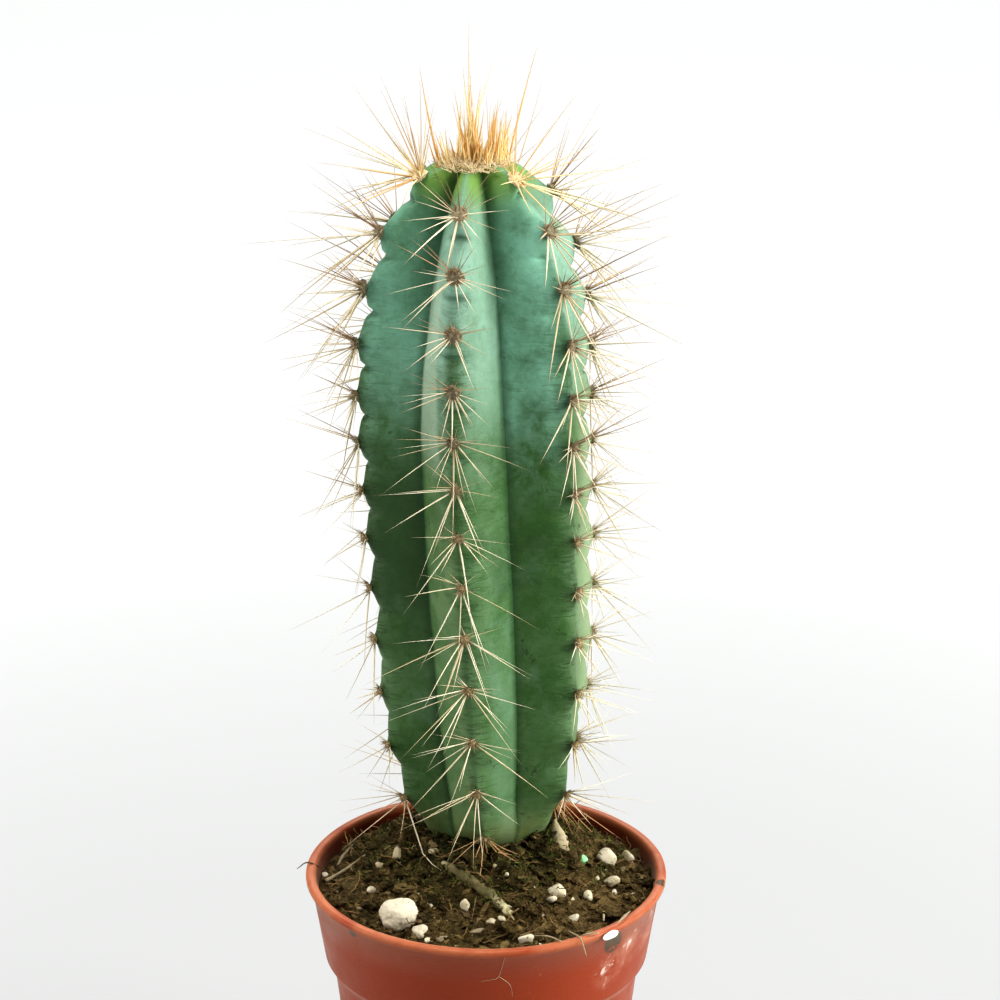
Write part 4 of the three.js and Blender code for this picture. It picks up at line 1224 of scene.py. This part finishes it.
# The perlite: grains of expanded volcanic glass, white and chalky, that keep the mix airy. One big
# lump lies in front, the others are strewn round the stem, and the peat has stained them all a little.
STONE = (-21.0, -24.4, 4.7)
STONE_HALF_SIZES = (4.55, 4.05, 3.4)
GRAINS = [
    # place and radius in mm
    (-15.6, -31.6, 2.1), (-4.8, -22.5, 1.5), (1.6, -28.2, 1.3), (9.7, -35.2, 1.6), (17.4, -15.5, 1.9),
    (31, -6.7, 1.8), (30.4, 4.5, 2.3), (35.6, 10.3, 2.0), (-26.4, -1.8, 1.2), (-28.3, -11.3, 1.2),
]
SMALL_GRAINS = [
    (-40.2, 2.0, 1.1), (-14.0, -35.2, 0.9), (27.5, -6.3, 0.7), (25.0, -15.0, 1.5), (16.4, -18.6, 1.2),
    (21.3, -17.5, 0.8), (5.2, -13.1, 0.7), (2.2, -10.8, 0.6), (21.4, -24.6, 1.2), (3.9, -27.2, 1.0),
]
GRAIN_LIFT = 0.3


class Heap:
    """Closed shapes gathered into one mesh, in mm, each with a tint of its own."""

    def __init__(self):
        self.points = []
        self.faces = []
        self.tints = []

    def add(self, shape, tint=0.5):
        points, faces = shape
        first = len(self.points)
        self.points += points
        self.faces += [[first + corner for corner in face] for face in faces]
        self.tints += [tint] * len(points)

    def made(self, name, look):
        mesh = mesh_of(name, self.points, self.faces)
        mesh.attributes.new("tint", "FLOAT", "POINT").data.foreach_set("value", self.tints)
        return new_object(name, mesh, look)


def lump(centre, stretch, turn, seed, subdivisions=3, knocks=7, uneven=0.2, edge=14, boxy=2):
    """An uneven ball of a given half size along each axis, with flat knocks, crisper the higher the edge."""
    ball = bmesh.new()
    bmesh.ops.create_icosphere(ball, subdivisions=subdivisions, radius=1.0)
    luck = random.Random(seed)
    cuts = []
    for _ in range(knocks):
        normal = Vector((luck.uniform(-1, 1), luck.uniform(-1, 1), luck.uniform(-1, 1))).normalized()
        cuts.append((normal, luck.uniform(0.5, 0.8)))
    shift = Vector((seed * 3.7, 0, 0))
    turned = Matrix.Rotation(turn, 3, "Z")
    points = []
    for corner in ball.verts:
        way = corner.co.normalized()
        reach = sum(abs(part) ** boxy for part in way) ** (-1 / boxy)
        reach += uneven * noise.noise(way * 1.4 + shift) + uneven * 0.35 * noise.noise(way * 4.5 + shift)
        blend = reach**-edge
        for normal, distance in cuts:
            blend += (max(way.dot(normal), 0.0) / distance) ** edge
        reach = blend ** (-1 / edge) + uneven * 0.12 * noise.noise(way * 11 + shift)
        local = Vector((way.x * stretch[0], way.y * stretch[1], way.z * stretch[2])) * reach
        points.append(tuple(Vector(centre) + turned @ local))
    faces = [[corner.index for corner in face.verts] for face in ball.faces]
    ball.free()
    return points, faces


def perlite():
    look = Look("perlite")
    tint = look.attribute("tint")
    look.start(look.noise(420.0, 4.0, 0.6), (0.50, 0.44, 0.31), (0.71, 0.66, 0.53))
    look.lay(tint * 0.55, (0.58, 0.50, 0.32))
    pits = mottle(look, 1500.0, 0.60, 0.08)
    look.lay(pits * 0.45, (0.38, 0.31, 0.20))
    look.lay(mottle(look, 260.0, 0.45, 0.2) * tint * 0.75, (0.34, 0.27, 0.14))
    look.bump(look.noise(900.0, 4.0, 0.7) - pits, 0.0003, 0.9)
    return look.done(0.9, 0.2)


perlite_look = perlite()


def laid(x, y, lift=0.5):
    """A place a little above the peat."""
    return (x, y, soil_height(x, y) + lift)


def grain_heap(rows, seed, subdivisions, shades, palest):
    """Perlite grains that lie in the peat, each as long, flat and stained as its number says."""
    heap = Heap()
    for number, (x, y, radius) in enumerate(rows):
        luck = random.Random(seed + number)
        stretch = [radius * luck.uniform(*span) for span in ((1.0, 1.45), (0.8, 1.05), (0.75, 1.05))]
        centre = laid(x, y, radius * GRAIN_LIFT + GRAIN_LIFT)
        tint = palest + (1 - palest) * (number % shades) / (shades - 1)
        turn = luck.uniform(0, math.pi)
        heap.add(lump(centre, stretch, turn, seed + number, subdivisions, 6, 0.3, 16, 2.6), tint)
    return heap


stone_heap = Heap()
stone_x, stone_y, stone_radius = STONE
stone_centre = laid(stone_x, stone_y, stone_radius * GRAIN_LIFT)
stone_heap.add(lump(stone_centre, STONE_HALF_SIZES, 0.25, 4, 5, 0, 0.12, 14, 2.9), 0.1)
stone = stone_heap.made("perlite_lump", perlite_look)
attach(stone, "root")
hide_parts("perlite_stone")

grains = grain_heap(GRAINS, 30, 3, 3, 0.35).made("perlite_grains", perlite_look)
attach(grains, "root")
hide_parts(*[f"perlite_grain_{number + 1:02d}" for number in range(len(GRAINS))])

small_grains = grain_heap(SMALL_GRAINS, 60, 2, 4, 0.3).made("perlite_small_grains", perlite_look)
perlite_dust = strewn("perlite_dust", perlite_look, 9000.0, 0.25, 0.85, 2, 0.35, 23)
for piece in (small_grains, perlite_dust):
    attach(piece, "root")
    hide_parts("potting_mix")


# The feed granule and the flake: a round bead of coated fertiliser that fell behind the grains,
# and a sliver of pale plastic coating that hangs on the outside of the rim.
GRANULE = (23.9, -1.5, 0.9)
GRANULE_HALF_SIZES = (1.6, 1.25, 1.35)
FLAKE_AZIMUTH = 41 * DEGREE
FLAKE_RADIUS = 45.7
FLAKE_Z = 78.9
FLAKE_HALF_SIZES = (2.5, 0.38, 1.05)


def coated(name, dark, pale, roughness):
    look = Look(name)
    look.start(look.noise(500.0, 2.0), dark, pale)
    look.lay(mottle(look, 700.0, 0.56, 0.1) * 0.4, (0.16, 0.13, 0.06))
    look.bump(look.noise(1300.0), 0.0001, 0.6)
    return look.done(roughness, 0.35)


granule_heap = Heap()
granule_heap.add(lump(laid(*GRANULE), GRANULE_HALF_SIZES, -0.6, 5, 4, 0, 0.06))
granule_coating = coated("granule_coating", (0.22, 0.60, 0.25), (0.38, 0.80, 0.42), 0.45)
granule = granule_heap.made("feed_granule_bead", granule_coating)
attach(granule, "root")
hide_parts("feed_granule")

flake_heap = Heap()
flake_centre = around(FLAKE_RADIUS, FLAKE_AZIMUTH, FLAKE_Z)
flake_heap.add(lump(flake_centre, FLAKE_HALF_SIZES, FLAKE_AZIMUTH, 3, 4, 0, 0.12))
flake_coating = coated("pale_flake", (0.66, 0.84, 0.76), (0.84, 0.93, 0.88), 0.5)
flake = flake_heap.made("pale_rim_flake", flake_coating)
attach(flake, "root")
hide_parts("rim_flake")


# The twig and the dead bits: a short length of bark that lies in front of the stem, bast strands and
# hair-thin fibres across the mix and the rim, and dry husks that came off the cactus.
TWIG_LINE = [(-10.6, -8.4, 0.7), (-5.2, -14.0, 0.8), (0.6, -19.4, 0.7), (5.8, -25.0, 0.6)]
TWIG_RADII = (0.5, 1.25, 1.4, 1.15, 1.45, 1.3, 0.9)
FRAYED_LINE = [(3.4, -22.2, 1.2), (5.2, -24.6, 1.3), (6.9, -27.6, 0.9)]
HAIR_RADII = (0.05, 0.06, 0.04)


def smooth_path(corners, steps):
    """Points along a curve through the corners."""
    ends = [corners[0] * 2 - corners[1], *corners, corners[-1] * 2 - corners[-2]]
    found = []
    for before, first, last, after in zip(ends, ends[1:], ends[2:], ends[3:]):
        for step in range(steps):
            t = step / steps
            slope = (last - before) * t
            bow = (2 * before - 5 * first + 4 * last - after) * t**2
            bend = (3 * first - before - 3 * last + after) * t**3
            found.append(0.5 * (2 * first + slope + bow + bend))
    return [*found, corners[-1]]


def tube(corners, radii, sides=6, uneven=0.0, seed=0, steps=5):
    """A closed tube along a smooth path, in mm, with its radii spread evenly over its length."""
    line = smooth_path([Vector(corner) for corner in corners], steps)
    last = len(line) - 1
    points = [tuple(line[0])]
    aside = (line[1] - line[0]).orthogonal().normalized()
    for index, middle in enumerate(line):
        ahead = (line[min(index + 1, last)] - line[max(index - 1, 0)]).normalized()
        aside = (aside - ahead * aside.dot(ahead)).normalized()
        above = ahead.cross(aside)
        share = index / last * (len(radii) - 1)
        slot = min(int(share), len(radii) - 2)
        radius = radii[slot] + (radii[slot + 1] - radii[slot]) * (share - slot)
        for side in range(sides):
            turn = 2 * math.pi * side / sides
            way = aside * math.cos(turn) + above * math.sin(turn)
            rough = noise.fractal((middle + way * radius) * 0.8 + Vector((seed, 0, 0)), 0.7, 2.0, 3)
            points.append(tuple(middle + way * radius * (1 + uneven * rough)))
    points.append(tuple(line[-1]))
    return points, ring_faces(sides, len(line))


def bark():
    look = Look("bark")
    look.start(look.noise(380.0, 4.0, 0.65), (0.052, 0.041, 0.016), (0.21, 0.175, 0.082))
    look.lay(mottle(look, 240.0, 0.46, 0.16) * 0.6, (0.060, 0.072, 0.018))
    frayed = spots(look, (6.0, -25.2, 79.6, 9.0), (-10.8, -8.2, 85.5, 6.0)).between(0.1, 0.7)
    look.lay(frayed * mottle(look, 500.0, 0.38, 0.2), (0.46, 0.42, 0.24))
    look.lay(look.attribute("tint").between(0.5, 1.0) * 0.7, (0.40, 0.32, 0.17))
    look.bump(look.noise(700.0, 4.0, 0.7), 0.0004)
    return look.done(0.92, 0.15)


twig_heap = Heap()
twig_heap.add(tube([laid(*corner) for corner in TWIG_LINE], TWIG_RADII, 18, 0.5, 7, 12), 0.0)
twig_heap.add(tube([laid(*corner) for corner in FRAYED_LINE], (0.4, 0.3, 0.15)), 1.0)
twig = twig_heap.made("twig", bark())
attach(twig, "root")
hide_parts("bark_twig")

STRANDS = [
    # tint, radii, the path's corners in mm, then sides, unevenness and seed. Bast strands at the left:
    (0.42, (0.6, 0.4, 0.5, 0.25),
     [laid(-40.0, -1.8, 0.8), laid(-37.0, 0.2, 1.1), laid(-33.9, 2.4, 1.2), laid(-30.4, 6.6, 1.0)],
     8, 0.4, 2),
    (0.36, (0.4, 0.5, 0.35, 0.2),
     [laid(-37.3, 5.6, 1.0), laid(-36.2, 9.2, 1.5), laid(-34.7, 15.3, 1.2), laid(-33.6, 19.8, 0.8)],
     8, 0.4, 3),
    # One long fibre across the left rim
    (0.1, (0.12, 0.2, 0.08), [laid(-39.5, 2.6, 1.2), (-44.4, 1.6, 80.5), (-47.2, 0.2, 79.4)]),
    # Fibres that lie against the front rim and hang over it
    (0.7, (0.1, 0.22, 0.12), [laid(11.0, -33.2), laid(15.0, -36.4, 2.2), (18.2, -40.6, 80.4)]),
    (0.55, (0.15, 0.22, 0.12),
     [laid(19.8, -30.2), (22.2, -37.6, 80.2), (22.9, -39.6, 80.1), (24.0, -41.2, 76.8)]),
    (0.6, (0.1, 0.25, 0.1), [(23.0, -36.8, 80.1), (25.0, -36.8, 80.6), (27.2, -36.4, 80.4)]),
    (0.5, (0.12, 0.4, 0.1), [(31.6, -31.8, 80.6), (33.4, -28.6, 80.9), (35.0, -25.2, 80.6)], 6, 0.3, 4),
    (0.75, (0.15, 0.35, 0.2),
     [laid(27.9, -19.2, 0.6), laid(28.6, -22.4, 1.6), laid(28.6, -25.8, 1.2)], 6, 0.3, 5),
    # Hair-thin plant fibres stuck to the front of the collar
    (1.0, HAIR_RADII,
     [(4.73, -43.65, 78.2), (3.2, -42.75, 72.3), (1.56, -42.7, 71.4), (-1.04, -42.6, 70.9)], 4),
    (1.0, HAIR_RADII, [(3.2, -42.8, 72.3), (5.82, -42.0, 69.7), (6.53, -41.3, 66.2)], 4),
    # Dry husks by the foot of the right front rib
    (0.85, (0.3, 1.5, 2.5, 2.3, 0.7),
     [(17.2, 7.6, 89.6), (17.7, 5.8, 86.6), (18.2, 3.6, 84.2), laid(18.9, 0.8, 0.2)], 14, 0.3, 9),
    (0.7, (0.2, 0.9, 1.0, 0.4), [(19.0, 5.6, 86.2), (19.8, 2.8, 83.8), laid(20.4, -0.6, 0.3)], 8, 0.3, 6),
]
BITS = [
    # tint, place on the peat, half sizes, turn, seed, subdivisions and knocks: a pale bud, then brown bits
    (1.0, (-22.2, -0.6, 1.2), (1.2, 1.1, 2.0), 0.4, 14, 3, 2),
    (0.15, (-17.7, 19.8, 0.8), (1.6, 1.2, 1.4), 0.9, 16),
    (0.8, (-12.9, -3.2, 0.6), (1.7, 1.1, 0.8), 0.3, 17),
    (0.45, (-9.9, -34.6, 0.4), (2.9, 1.4, 0.8), 0.1, 18),
    (0.4, (-2.3, -31.7, 0.5), (2.4, 1.2, 0.7), 0.5, 19),
    (0.5, (-29.8, -18.1, 0.5), (2.2, 1.3, 0.9), -0.4, 20),
]
litter = Heap()
for tint, radii, corners, *shape in STRANDS:
    litter.add(tube(corners, radii, *shape), tint)
for tint, place, *shape in BITS:
    litter.add(lump(laid(*place), *shape), tint)
dry_litter = litter.made("dry_litter", fibre_look("dry_litter", (0.060, 0.032, 0.012), (0.66, 0.56, 0.36)))
chip_look = fibre_look("bark_chips", (0.055, 0.034, 0.014), (0.34, 0.25, 0.12))
chips = strewn("potting_mix_chips", chip_look, 14000.0, 0.35, 1.5, 2, 0.5, 31)
for piece in (dry_litter, chips):
    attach(piece, "root")
    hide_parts("potting_mix")
